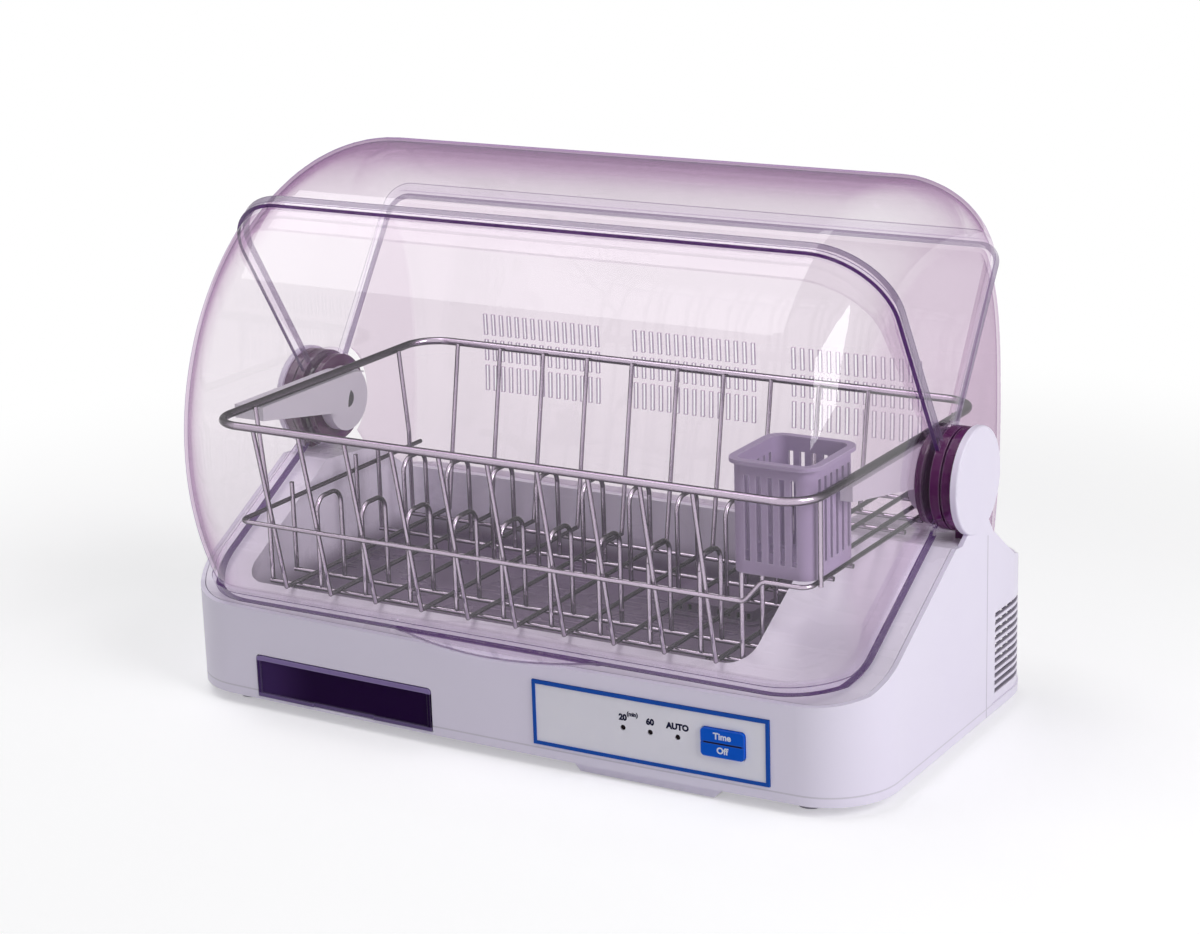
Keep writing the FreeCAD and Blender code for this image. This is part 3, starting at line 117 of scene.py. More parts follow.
CLEAR_TINT = (0.985, 0.972, 0.983)          # light through a hood wall, seen square on
CLEAR_SLANT = (0.86, 0.79, 0.855)           # and ever more along it
CLEAR_BAND = (0.74, 0.60, 0.745)
CLEAR_DEEP = (0.46, 0.28, 0.55)
CLEAR_FLANGE = (0.975, 0.95, 0.985)
CLEAR_SHADOW = (0.99, 0.98, 0.99)
REAR_TINT = (0.930, 0.892, 0.925)
REAR_SLANT = (0.745, 0.635, 0.735)
FLANGE_BODY = (0.80, 0.70, 0.90)
RIM_PURPLE = (0.12, 0.035, 0.19)            # light through a dark rim line
RIM_BODY = (0.11, 0.035, 0.20)              # and the line's own colour
HUB_TINT = (0.30, 0.06, 0.36)
HUB_BODY = (0.14, 0.012, 0.125)
LENS_TINT = (0.06, 0.02, 0.03)
LENS_BODY = (0.008, 0.003, 0.005)

DRAWER_TINT = (0.10, 0.02, 0.22)
# deep purple of the drawer, darkened with painted shade for the dark inside of the base behind it
DRAWER_DEEP_PAINTED_SHADE = (0.020, 0.002, 0.050)
# painted light on the drawer's left end
DRAWER_PAINTED_LIGHT = (0.070, 0.030, 0.150)
# painted light along the drawer's top and foot rims
DRAWER_RIM_PAINTED_LIGHT = (0.31, 0.23, 0.49)

PANEL_BLUE = (0.006, 0.085, 0.46)
LABEL_FIELD = (0.93, 0.91, 1.0)
BUTTON_BLUE = (0.002, 0.11, 0.68)
NAVY_INK = (0.002, 0.002, 0.035)
WHITE_INK = (0.80, 0.84, 0.95)

CHROME = (0.61, 0.535, 0.635)
STEEL = (0.52, 0.52, 0.54)
WHITE = (1.0, 1.0, 1.0)

# ---- strengths of the looks ----------------------------------------------------------------------
SEAM_SHADES = (0.28, 0.38)      # how dark the level and the upright joints of the base are
# strength of the painted shade in the louvre slots
LOUVRE_PAINTED_SHADE = 0.62
VENT_LINE = 0.50                # darkness of the vent slots' cut walls
FLANGE_SHARE = 0.12             # share of body colour on a rim, in a scratch and on the lip
SCRATCH_SHARE = 0.10
LIP_SHARE = 0.24
WALL_SHARES = (0.012, 0.60)     # share of body colour on a plain wall and on a dark line
SLANT_SPAN = (0.26, 0.84)       # how slanting a wall is seen where each deeper colour comes in
BAND_SPAN = (0.55, 0.82)
EDGE_ON_SPAN = (0.84, 0.98)
LIP_ROOT_SHADE_AND_EDGE_DARKNESS = (0.75, 0.7)         # darkness of the painted shade along the lip's root and of the line on its curved edge
LABEL_GLOSS, BUTTON_GLOSS = 0.12, 0.06
# Refractive indices, which set how strongly each clear piece mirrors
HOOD_MIRROR, HUB_MIRROR, DRAWER_MIRROR, LENS_MIRROR = 1.52, 1.42, 1.10, 1.08


# ---- node helpers --------------------------------------------------------------------------------
def feed(tree, socket, value):
    """Link an output to a socket, or set a plain value on it."""
    if isinstance(value, bpy.types.NodeSocket):
        tree.links.new(value, socket)
    elif isinstance(value, tuple) and len(value) == 3 and socket.type == "RGBA":
        socket.default_value = value + (1.0,)
    else:
        socket.default_value = value


def add(tree, kind, inputs=None, **settings):
    """New node with its settings, and its inputs by name or number."""
    node = tree.nodes.new("ShaderNode" + kind)
    for name, value in settings.items():
        setattr(node, name, value)
    for name, value in (inputs or {}).items():
        feed(tree, node.inputs[name], value)
    return node


def maths(tree, operation, *values):
    node = add(tree, "Math", operation=operation)
    for socket, value in zip(node.inputs, values):
        feed(tree, socket, value)
    return node.outputs[0]


def product(tree, first, *others):
    for value in others:
        first = maths(tree, "MULTIPLY", first, value)
    return first


def highest(tree, first, *others):
    for value in others:
        first = maths(tree, "MAXIMUM", first, value)
    return first


def remainder(tree, share):
    """What a share leaves of one."""
    return maths(tree, "SUBTRACT", 1.0, share)


def vector(tree, operation, first, second=None):
    """Vector arithmetic on one or two vectors."""
    inputs = {0: first} if second is None else {0: first, 1: second}
    return add(tree, "VectorMath", inputs, operation=operation)


def noise(tree, place, **inputs):
    """Value of a noise texture at a place."""
    return add(tree, "TexNoise", {"Vector": place, **inputs}).outputs["Fac"]


def blend(tree, factor, first, second):
    """Mix of two colours."""
    node = add(tree, "Mix", data_type="RGBA")
    for socket, value in zip((0, 6, 7), (factor, first, second)):
        feed(tree, node.inputs[socket], value)
    return node.outputs[2]


def ramp(tree, value, span, out=(0.0, 1.0)):
    """Value brought from one span to another, held at both ends and eased between them."""
    ends = {"From Min": span[0], "From Max": span[1], "To Min": out[0], "To Max": out[1]}
    node = add(tree, "MapRange", {"Value": value, **ends}, interpolation_type="SMOOTHSTEP")
    return node.outputs["Result"]


def offset(tree, value, place):
    """How far a value is past a place."""
    return maths(tree, "SUBTRACT", value, place)


def line(tree, away, widths, strength=1.0):
    """Line where the value is nearly nothing, with its two half widths."""
    return ramp(tree, maths(tree, "ABSOLUTE", away), widths, (0.0, strength))


def object_place(tree):
    return add(tree, "TexCoord").outputs["Object"]


def axes(tree, source):
    """Parts of a vector, by X, Y and Z."""
    return add(tree, "SeparateXYZ", {"Vector": source}).outputs


def new_group(name, inputs, outputs):
    """Empty shader node group; inputs have a label, a kind and a value, or none."""
    group = bpy.data.node_groups.new(name, "ShaderNodeTree")
    for label, kind, value in inputs:
        socket = group.interface.new_socket(label, in_out="INPUT", socket_type="NodeSocket" + kind)
        if value is not None:
            socket.default_value = value
    for label, kind in outputs:
        group.interface.new_socket(label, in_out="OUTPUT", socket_type="NodeSocket" + kind)
    start = group.nodes.new("NodeGroupInput")
    end = group.nodes.new("NodeGroupOutput")
    return group, start.outputs, end.inputs


# ---- shared effects ------------------------------------------------------------------------------
def make_moulded_skin():
    """Fine texture of a moulding, over slow waves where thick and thin walls cooled."""
    inputs = [
        ("Grain", "Float", 900.0), ("Grain Depth", "Float", 0.00003),
        ("Wave", "Float", 14.0), ("Wave Depth", "Float", 0.0004),
    ]
    group, given, made = new_group("moulded_skin", inputs, [("Normal", "Vector")])
    place = object_place(group)
    grain = noise(group, place, Scale=given["Grain"], Detail=2.0)
    wave = noise(group, place, Scale=given["Wave"], Detail=1.0)
    slow = add(group, "Bump", {"Strength": 0.6, "Distance": given["Wave Depth"], "Height": wave})
    fine = add(group, "Bump", {
        "Strength": 0.6, "Distance": given["Grain Depth"], "Height": grain, "Normal": slow.outputs[0],
    })
    feed(group, made["Normal"], fine.outputs[0])
    return group


def make_slow_waves():
    """Slow waves of a clear moulding, with no grain."""
    inputs = [("Wave", "Float", 8.0), ("Depth", "Float", 0.0005)]
    group, given, made = new_group("slow_waves", inputs, [("Normal", "Vector")])
    wave = noise(group, object_place(group), Scale=given["Wave"], Detail=0.0)
    slow = add(group, "Bump", {"Strength": 0.6, "Distance": given["Depth"], "Height": wave})
    feed(group, made["Normal"], slow.outputs[0])
    return group


def make_hand_marks():
    """Roughness of a handled surface: base value, soft smears and thin wipe streaks."""
    inputs = [("Roughness", "Float", 0.3), ("Smear", "Float", 0.12), ("Scale", "Float", 18.0)]
    group, given, made = new_group("hand_marks", inputs, [("Roughness", "Float")])
    place = object_place(group)
    smear = noise(group, place, Scale=given["Scale"], Detail=4.0, Distortion=1.2)
    stretched = add(group, "Mapping", {
        "Vector": place, "Rotation": (0.3, 0.5, 0.7), "Scale": (6.0, 90.0, 60.0),
    })
    streak = noise(group, stretched.outputs[0], Scale=3.0, Detail=3.0)
    soft = ramp(group, smear, (0.42, 0.70))
    thin = ramp(group, streak, (0.58, 0.72), (0.0, 0.5))
    marks = product(group, maths(group, "ADD", soft, thin), given["Smear"])
    feed(group, made["Roughness"], maths(group, "ADD", given["Roughness"], marks))
    return group


def make_shade_drift():
    """Colour that drifts a little across a piece, paler where it is rubbed and dustier on top."""
    inputs = [
        ("Color", "Color", None), ("Drift", "Float", 0.05), ("Scale", "Float", 9.0),
        ("Dust", "Float", 0.04), ("Wear", "Float", 0.0),
    ]
    group, given, made = new_group("shade_drift", inputs, [("Color", "Color")])
    place = object_place(group)
    cloud = offset(group, noise(group, place, Scale=given["Scale"], Detail=3.0), 0.5)
    level = maths(group, "MULTIPLY_ADD", cloud, given["Drift"], 1.0)
    drifted = add(group, "VectorMath", {0: given["Color"], "Scale": level}, operation="SCALE")
    normal = add(group, "NewGeometry").outputs["Normal"]
    upward = ramp(group, axes(group, normal)["Z"], (0.55, 1.0))
    speck = ramp(group, noise(group, place, Scale=260.0, Detail=5.0), (0.45, 0.75))
    dusty = blend(group, product(group, upward, speck, given["Dust"]), drifted.outputs[0], DUST)
    rounded = add(group, "Bevel", {"Radius": 1.2 * MM}, samples=4)
    turn = vector(group, "DOT_PRODUCT", rounded.outputs[0], normal).outputs["Value"]
    edge = ramp(group, turn, (0.985, 0.90))
    worn = blend(group, product(group, edge, given["Wear"]), dusty, RUBBED_EDGE)
    feed(group, made["Color"], worn)
    return group


def make_hood_plane():
    """Distance of a surface point ahead of a plane through the hood's axis, given its angle."""
    inputs = [("Angle", "Float", 0.0)]
    group, given, made = new_group("hood_plane", inputs, [("Distance", "Float")])
    part = axes(group, vector(group, "SUBTRACT", object_place(group), HOOD_AXIS).outputs[0])
    along_y = product(group, part["Y"], maths(group, "COSINE", given["Angle"]))
    along_z = product(group, part["Z"], maths(group, "SINE", given["Angle"]))
    feed(group, made["Distance"], product(group, maths(group, "ADD", along_y, along_z), -1.0))
    return group


def make_rim_lines():
    """Dark lines along both edges of a moulded rim, with a nearly clear strip between them."""
    inputs = [
        ("Distance", "Float", 0.0), ("Width", "Float", RIM_W), ("Line", "Float", RIM_LINE_W),
        ("Free Edge", "Float", 0.45), ("Inner Edge", "Float", 1.0), ("Twin", "Float", 0.6),
        ("Fill", "Float", 0.04),
    ]
    group, given, made = new_group("rim_lines", inputs, [("Mask", "Float")])
    near = line(group, given["Distance"], (product(group, given["Line"], 2.0), given["Line"]))
    past = offset(group, given["Distance"], given["Width"])
    far = line(group, past, (given["Line"], 0.0))
    twin = line(group, maths(group, "ADD", past, TWIN_STEP), TWIN_LINE, given["Twin"])
    inner = product(group, highest(group, far, twin), given["Inner Edge"])
    ahead = maths(group, "GREATER_THAN", given["Distance"], -0.4 * MM)
    within = maths(group, "LESS_THAN", given["Distance"], given["Width"])
    band = product(group, ahead, within, given["Fill"])
    free = product(group, near, given["Free Edge"])
    feed(group, made["Mask"], highest(group, free, inner, band))
    return group


def make_fine_scratches():
    """Hairline scratches of a wiped clear cover, in two directions."""
    group, given, made = new_group("fine_scratches", [], [("Mask", "Float")])
    place = object_place(group)
    scratches = []
    for turn, size in (((0.4, 0.2, 0.9), 26.0), ((1.3, 0.7, 0.1), 34.0)):
        laid = add(group, "Mapping", {"Vector": place, "Rotation": turn, "Scale": (1.0, 40.0, 1.0)})
        hair = noise(group, laid.outputs[0], Scale=size, Detail=1.0)
        scratches.append(ramp(group, hair, (0.70, 0.76)))
    feed(group, made["Mask"], highest(group, *scratches))
    return group


GROUPS = {made.name: made for made in (
    make_moulded_skin(), make_hand_marks(), make_shade_drift(), make_hood_plane(),
    make_rim_lines(), make_fine_scratches(), make_slow_waves(),
)}


def use(tree, name, **inputs):
    """Place a shared effect in a material; input names have spaces for underscores."""
    node = tree.nodes.new("ShaderNodeGroup")
    node.node_tree = GROUPS[name]
    for label, value in inputs.items():
        feed(tree, node.inputs[label.replace("_", " ")], value)
    return node.outputs[0]


# ---- solid finishes ------------------------------------------------------------------------------
def blank(name):
    material = bpy.data.materials.new(name)
    material.use_nodes = True
    material.node_tree.nodes.clear()
    return material, material.node_tree


def close(tree, shader):
    end = add(tree, "OutputMaterial")
    tree.links.new(shader, end.inputs["Surface"])


def surface(tree, colour, shade, marks, skin, **more):
    """Solid surface: a colour and the inputs of the three shared effects that it goes through."""
    body = {
        "Base Color": use(tree, "shade_drift", Color=colour, **shade),
        "Roughness": use(tree, "hand_marks", **marks),
        "Normal": use(tree, "moulded_skin", **skin),
    }
    body.update({label.replace("_", " "): value for label, value in more.items()})
    close(tree, add(tree, "BsdfPrincipled", body).outputs[0])


def plastic(name, colour, roughness=0.3, smear=0.12, wear=0.25, dust=0.05, grain_depth=0.00003):
    """Solid moulded plastic or rubber."""
    material, tree = blank(name)
    surface(tree, colour, {"Drift": 0.05, "Dust": dust, "Wear": wear},
            {"Roughness": roughness, "Smear": smear}, {"Grain_Depth": grain_depth})
    return material


def base_finish(name):
    """Base plastic with a dark line in its joints and painted shade in the louvre slots."""
    material, tree = blank(name)
    place = add(tree, "TexCoord")
    part = axes(tree, place.outputs["Object"])
    facing = axes(tree, place.outputs["Normal"])
    level = maths(tree, "ABSOLUTE", facing["Z"])
    upright = ramp(tree, level, (0.6, 0.4))
    low = line(tree, offset(tree, part["Z"], SEAM_Z), LOW_SEAM_LINE)
    back = line(tree, offset(tree, part["Y"], SEAM_Y), BACK_SEAM_LINE)
    sides = ramp(tree, maths(tree, "ABSOLUTE", facing["X"]), (0.8, 0.9))
    below_ear = maths(tree, "LESS_THAN", part["Z"], SEAM_TOP)
    low_shade, back_shade = SEAM_SHADES
    joints = highest(tree, product(tree, low, low_shade),
                     product(tree, back, sides, below_ear, back_shade))
    # painted shade on the inner faces of the louvre slots
    in_corner = maths(tree, "GREATER_THAN", part["Y"], LOUVRE_Y)
    above_pan = maths(tree, "GREATER_THAN", part["Z"], LOUVRE_Z[0])
    below_top = maths(tree, "LESS_THAN", part["Z"], LOUVRE_Z[1])
    slots = product(tree, ramp(tree, level, (0.55, 0.8)), in_corner, above_pan, below_top)
    joints_and_painted_shade = highest(tree, product(tree, joints, upright), product(tree, slots, LOUVRE_PAINTED_SHADE))
    surface(tree, blend(tree, joints_and_painted_shade, BASE_PLASTIC, SLOT_PAINTED_SHADE),
            {"Drift": 0.05, "Dust": 0.05, "Wear": 0.25}, {"Roughness": 0.32}, {}, IOR=1.5)
    return material


def deck_finish(name):
    """Pale deck; below its rim the basin gets painted shade, a much darker colour."""
    material, tree = blank(name)
    # painted shade in the basin below the deck's rim
    sunk_painted_shade = ramp(tree, axes(tree, object_place(tree))["Z"], BASIN_PAINTED_SHADE_Z)
    surface(tree, blend(tree, sunk_painted_shade, DECK_PLASTIC, BASIN_PAINTED_SHADE),
            {"Drift": 0.06, "Dust": 0.03, "Wear": 0.15},
            {"Roughness": 0.26, "Smear": 0.14, "Scale": 14.0}, {}, IOR=1.5)
    return material


def button_finish(name):
    """Blue push button with a navy line across its groove."""
    material, tree = blank(name)
    part = axes(tree, object_place(tree))
    across = offset(tree, part["X"], BUTTON_MIDDLE[0])
    above = offset(tree, part["Z"], BUTTON_MIDDLE[1])
    groove = product(tree, line(tree, above, GROOVE_LINE), line(tree, across, GROOVE_HALF_LENGTH))
    surface(tree, blend(tree, groove, BUTTON_BLUE, NAVY_INK),
            {"Drift": 0.06, "Dust": 0.01, "Wear": 0.06},
            {"Roughness": 0.3, "Smear": 0.12, "Scale": 60.0}, {}, Specular_IOR_Level=BUTTON_GLOSS)
    return material


def printed(name, colour):
    """Ink or film with a faint screen texture."""
    material, tree = blank(name)
    surface(tree, colour, {"Drift": 0.08, "Scale": 60.0, "Dust": 0.0},
            {"Roughness": 0.35, "Smear": 0.06, "Scale": 40.0},
            {"Grain": 2600.0, "Grain_Depth": 0.00001, "Wave": 30.0, "Wave_Depth": 0.00005},
            Specular_IOR_Level=LABEL_GLOSS)
    return material


def bright_metal(name, colour, roughness):
    """Plated wire or steel with drawing marks and faint water spots; a painted reflection of a dark
    room darkens its colour towards its sides.
    """
    material, tree = blank(name)
    spots = add(tree, "TexVoronoi", {"Vector": object_place(tree), "Scale": 240.0}, feature="F1")
    dried = ramp(tree, spots.outputs["Distance"], (0.22, 0.10))
    # painted reflection: colour darkened where the surface turns away, for a mirrored dark room
    slant = add(tree, "LayerWeight", {"Blend": 0.5}).outputs["Facing"]
    rounded = blend(tree, ramp(tree, slant, (0.06, 0.52)), colour, tuple(c * 0.10 for c in colour))
    marks = use(tree, "hand_marks", Roughness=roughness, Smear=0.10, Scale=60.0)
    body = add(tree, "BsdfPrincipled", {
        "Base Color": use(tree, "shade_drift", Color=rounded, Drift=0.12, Scale=30.0, Dust=0.02),
        "Metallic": 1.0,
        "Roughness": maths(tree, "MULTIPLY_ADD", dried, 0.10, marks),
        "Normal": use(tree, "moulded_skin", Grain=1600.0, Grain_Depth=0.00001, Wave=90.0,
                      Wave_Depth=0.00015),
    })
    close(tree, body.outputs[0])
    return material


# ---- clear finishes ------------------------------------------------------------------------------
def see_through(tree, tint, colour, solid, roughness, normal, shine, fade=0.0):
    """Thin clear wall: tinted light through it, a little body colour, and its mirror on top."""
    through = add(tree, "BsdfTransparent", {"Color": tint})
    body = add(tree, "BsdfPrincipled", {
        "Base Color": colour, "Roughness": roughness, "Normal": normal, "Specular IOR Level": 0.0,
    })
    seen = remainder(tree, add(tree, "LightPath").outputs["Is Shadow Ray"])
    solid = product(tree, solid, seen)
    wall = add(tree, "MixShader", {0: solid, 1: through.outputs[0], 2: body.outputs[0]})
    mirror = add(tree, "BsdfGlossy", {"Color": WHITE, "Roughness": roughness, "Normal": normal})
    fresnel = add(tree, "Fresnel", {"IOR": shine, "Normal": normal})
    outside = remainder(tree, add(tree, "NewGeometry").outputs["Backfacing"])
    share = product(tree, fresnel.outputs[0], outside, seen, remainder(tree, fade))
    mixed = add(tree, "MixShader", {0: share, 1: wall.outputs[0], 2: mirror.outputs[0]})
    close(tree, mixed.outputs[0])


def outer_face(tree):
    """Faces of a hood piece that look away from the middle of its axis, and its cut edges."""
    place = add(tree, "TexCoord").outputs
    from_middle = vector(tree, "SUBTRACT", place["Object"], HOOD_AXIS).outputs[0]
    along = vector(tree, "DOT_PRODUCT", from_middle, place["Normal"]).outputs["Value"]
    back_side = add(tree, "NewGeometry").outputs["Backfacing"]
    turned = maths(tree, "MULTIPLY_ADD", back_side, -2.0, 1.0)
    return maths(tree, "GREATER_THAN", product(tree, along, turned), -FACE_SLACK)


def slot_walls(tree):
    """Cut walls of the vent slots, which face sideways inside the rear cover's ends."""
    facing = axes(tree, add(tree, "NewGeometry").outputs["Normal"])
    part = axes(tree, object_place(tree))
    sideways = ramp(tree, maths(tree, "ABSOLUTE", facing["X"]), (0.90, 0.96))
    inside = maths(tree, "LESS_THAN", maths(tree, "ABSOLUTE", part["X"]), VENT_HALF_W)
    return product(tree, sideways, inside)


def axis_rim(tree, angle, **strengths):
    """Lines and clear band of a rim that lies in a plane through the hood's axis."""
    ahead = use(tree, "hood_plane", Angle=angle)
    lines = use(tree, "rim_lines", Distance=ahead, **strengths)
    return product(tree, lines, outer_face(tree)), ramp(tree, ahead, RIM_BAND)


def lower_rim(tree):
    """Lines and clear band along the front cover's lower edge."""
    part = axes(tree, object_place(tree))
    gentle, steep = (
        maths(tree, "MULTIPLY_ADD", part["Y"], *edge) for edge in (GENTLE_EDGE, STEEP_EDGE)
    )
    height = maths(tree, "SUBTRACT", part["Z"], highest(tree, gentle, steep))
    lines = use(tree, "rim_lines", Distance=height, Width=LOW_RIM_W, Line=LOW_RIM_LINE_W,
                Free_Edge=1.0, Twin=0.0, Fill=0.0)
    return product(tree, lines, outer_face(tree)), ramp(tree, height, RIM_BAND)


def finger_lip(tree):
    """Finger lip, with painted shade along its root and a dark line along its curved edge."""
    place = object_place(tree)
    from_axis = vector(tree, "SUBTRACT", place, HOOD_AXIS).outputs[0]
    flat = vector(tree, "MULTIPLY", from_axis, (0.0, 1.0, 1.0)).outputs[0]
    radius = vector(tree, "LENGTH", flat).outputs["Value"]
    lip = maths(tree, "GREATER_THAN", radius, LIP_START)
    # painted shade along the lip's root
    root = ramp(tree, offset(tree, radius, LIP_START), LIP_ROOT_PAINTED_SHADE, (0.0, LIP_ROOT_SHADE_AND_EDGE_DARKNESS[0]))
    part = axes(tree, place)
    across = offset(tree, part["X"], LIP_MIDDLE_X)
    along = offset(tree, product(tree, part["Y"], LIP_TILT), LIP_MIDDLE_ALONG)
    squares = (maths(tree, "POWER", side, 2.0) for side in (across, along))
    reach = maths(tree, "SQRT", maths(tree, "ADD", *squares))
    inward = maths(tree, "SUBTRACT", LIP_RADIUS, reach)
    edge = ramp(tree, inward, LIP_EDGE_LINE, (0.0, LIP_ROOT_SHADE_AND_EDGE_DARKNESS[1]))
    return lip, product(tree, lip, highest(tree, root, edge))


def wall_tint(tree, slant, edge_on, tint, slant_tint):
    """Colour of light through a hood wall, uneven and deeper where one looks along it."""
    cloud = noise(tree, object_place(tree), Scale=7.0, Detail=2.0)
    duller = tuple(c * 0.985 for c in tint)
    uneven = blend(tree, ramp(tree, cloud, (0.3, 0.7)), tint, duller)
    slanted = blend(tree, ramp(tree, slant, SLANT_SPAN), uneven, slant_tint)
    banded = blend(tree, ramp(tree, slant, BAND_SPAN), slanted, CLEAR_BAND)
    return blend(tree, edge_on, banded, CLEAR_DEEP)


def clear_cover(name, rim=None, with_lip=False, vents=False, tint=CLEAR_TINT, slant_tint=CLEAR_SLANT):
    """Lilac clear plastic of the hood, with dark lines on its rims."""
    material, tree = blank(name)
    lines = flange = lip = 0.0
    if rim:
        lines, flange = axis_rim(tree, **rim)
    if with_lip:
        low_lines, low_flange = lower_rim(tree)
        # the lip's lines carry painted shade along its root
        lip, lip_shade_and_lines = finger_lip(tree)
        off_lip = product(tree, highest(tree, lines, low_lines), remainder(tree, lip))
        lines = highest(tree, off_lip, lip_shade_and_lines)
        flange = highest(tree, flange, low_flange)
    if vents:
        lines = highest(tree, lines, product(tree, slot_walls(tree), VENT_LINE))
    slant = add(tree, "LayerWeight", {"Blend": 0.5}).outputs["Facing"]
    edge_on = ramp(tree, slant, EDGE_ON_SPAN)
    wall = wall_tint(tree, slant, edge_on, tint, slant_tint)
    flanged = blend(tree, highest(tree, flange, lip), wall, CLEAR_FLANGE)
    lined = blend(tree, lines, flanged, RIM_PURPLE)
    shadow_ray = add(tree, "LightPath").outputs["Is Shadow Ray"]
    marked = highest(
        tree, lines, product(tree, flange, FLANGE_SHARE), product(tree, lip, LIP_SHARE),
        product(tree, use(tree, "fine_scratches"), SCRATCH_SHARE))
    see_through(
        tree, blend(tree, shadow_ray, lined, CLEAR_SHADOW), blend(tree, lines, FLANGE_BODY, RIM_BODY),
        ramp(tree, marked, (0.0, 1.0), WALL_SHARES),
        use(tree, "hand_marks", Roughness=0.02, Smear=0.015, Scale=11.0), use(tree, "slow_waves"),
        HOOD_MIRROR, edge_on)
    return material


def drawer_finish(name):
    """Deep purple clear drawer: painted light on its raised rim and its left end, and painted shade
    for the dark inside of the base on the rest and behind.
    """
    material, tree = blank(name)
    part = axes(tree, object_place(tree))
    # painted light on the left end of the field
    left_painted_light = ramp(tree, part["X"], (DRAWER_LEFT, DRAWER_LEFT + DRAWER_PAINTED_LIGHT_W), (1.0, 0.0))
    painted_field = blend(tree, left_painted_light, DRAWER_DEEP_PAINTED_SHADE, DRAWER_PAINTED_LIGHT)
    # painted light along the top and foot rims of the front face
    top = ramp(tree, part["Z"], DRAWER_TOP_PAINTED_LIGHT_Z)
    foot_painted_light = ramp(tree, part["Z"], DRAWER_FOOT_PAINTED_LIGHT_Z, (0.0, 0.55))
    rim = product(tree, highest(tree, top, foot_painted_light), ramp(tree, part["Y"], DRAWER_FACE_Y))
    colour = blend(tree, rim, painted_field, DRAWER_RIM_PAINTED_LIGHT)
    see_through(
        tree, DRAWER_TINT,
        use(tree, "shade_drift", Color=colour, Drift=0.15, Scale=22.0, Dust=0.02, Wear=0.10),
        ramp(tree, rim, (0.0, 1.0), (0.80, 0.95)),
        use(tree, "hand_marks", Roughness=0.08, Smear=0.10, Scale=30.0),
        use(tree, "moulded_skin", Grain_Depth=0.00001), DRAWER_MIRROR)
    return material


def tinted_clear(name, tint, body, solid, shine):
    """Strongly tinted clear plastic of a hub or a lamp."""
    material, tree = blank(name)
    slant = add(tree, "LayerWeight", {"Blend": 0.4}).outputs["Facing"]
    twice_through = tuple(c * c for c in tint)
    see_through(
        tree, blend(tree, ramp(tree, slant, (0.4, 1.0)), tint, twice_through),
        use(tree, "shade_drift", Color=body, Drift=0.35, Scale=40.0, Dust=0.01, Wear=0.22),
        solid, use(tree, "hand_marks", Roughness=0.06, Smear=0.08, Scale=30.0),
        use(tree, "moulded_skin", Grain_Depth=0.00001, Wave=40.0, Wave_Depth=0.0002), shine)
    return material


# ---- finish of each piece ------------------------------------------------------------------------
FRONT_RIM = {"angle": FRONT_EDGE_ANGLE, "Free_Edge": 0.55, "Inner_Edge": 1.0, "Twin": 0.85}
MIDDLE_RIM = {"angle": MIDDLE_REAR_ANGLE, "Free_Edge": 0.6, "Inner_Edge": 0.45, "Twin": 0.0}
RUBBER = {"smear": 0.1, "wear": 0.05, "dust": 0.2, "grain_depth": 0.0001}

FINISHES = {
    "base": base_finish("base_plastic"),
    "deck": deck_finish("deck_plastic"),
    # the air grille in the basin takes the basin's painted shade
    "grille": plastic("grille_plastic", BASIN_PAINTED_SHADE, 0.34, wear=0.15),
    "holder": plastic("holder_plastic", HOLDER_PLASTIC, 0.34),
    "arm": plastic("arm_plastic", ARM_PLASTIC, 0.34),
    "front_cover": clear_cover("front_cover_clear", FRONT_RIM, with_lip=True),
    "middle_cover": clear_cover("middle_cover_clear", MIDDLE_RIM),
    "rear_cover": clear_cover("rear_cover_clear", vents=True, tint=REAR_TINT, slant_tint=REAR_SLANT),
    "hub": tinted_clear("hub_purple", HUB_TINT, HUB_BODY, 0.60, HUB_MIRROR),
    "drawer": drawer_finish("drawer_purple"),
    "bezel": printed("panel_blue", PANEL_BLUE),
    "label": printed("label_film", LABEL_FIELD),
    "button": button_finish("button_blue"),
    "lens": tinted_clear("lamp_lens", LENS_TINT, LENS_BODY, 0.96, LENS_MIRROR),
    "navy_ink": printed("navy_ink", NAVY_INK),
    "white_ink": printed("white_ink", WHITE_INK),
    "chrome": bright_metal("chrome_wire", CHROME, 0.10),
    "steel": bright_metal("bright_steel", STEEL, 0.28),
    "rubber": plastic("black_rubber", BLACK_RUBBER, 0.75, **RUBBER),
    "feet": plastic("pale_rubber", PALE_RUBBER, 0.70, **RUBBER),
    "dark": plastic("dark_plastic", DARK_PLASTIC, 0.5, wear=0.1),
    "board": plastic("circuit_board", BOARD_GREEN, 0.4, wear=0.1),
}

NODE_FINISH = {         # the rack's pieces are not listed: they are chrome
    "base_housing": "base", "rear_housing": "base", "bottom_plate": "base", "drip_deck": "deck",
    "rubber_feet": "feet", "case_screws": "steel", "cord_gland": "rubber",
    "drip_drawer": "drawer", "drawer_guides": "base",
    "control_bezel": "bezel", "control_label": "label", "time_button": "button",
    "indicator_lenses": "lens", "control_board": "board",
    "blower_housing": "dark", "fan_motor": "steel", "fan_impeller": "dark", "air_duct": "dark",
    "heater_element": "steel", "thermal_cutout": "steel", "air_grille": "grille",
    "terminal_block": "dark",
    "front_cover": "front_cover", "front_cover_hubs": "hub", "middle_cover": "middle_cover",
    "middle_cover_hubs": "hub", "rear_cover": "rear_cover", "pivot_pins": "steel",
    "rack_arms": "arm", "cutlery_holder": "holder",
}

for name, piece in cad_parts.items():
    piece.data.materials.clear()
    piece.data.materials.append(FINISHES[NODE_FINISH.get(name, "chrome")])


# ---- printed panel -------------------------------------------------------------------------------
def bow(x):
    """Depth of the curved front face at x."""
    return BOW_RADIUS - math.sqrt(BOW_RADIUS ** 2 - x ** 2)


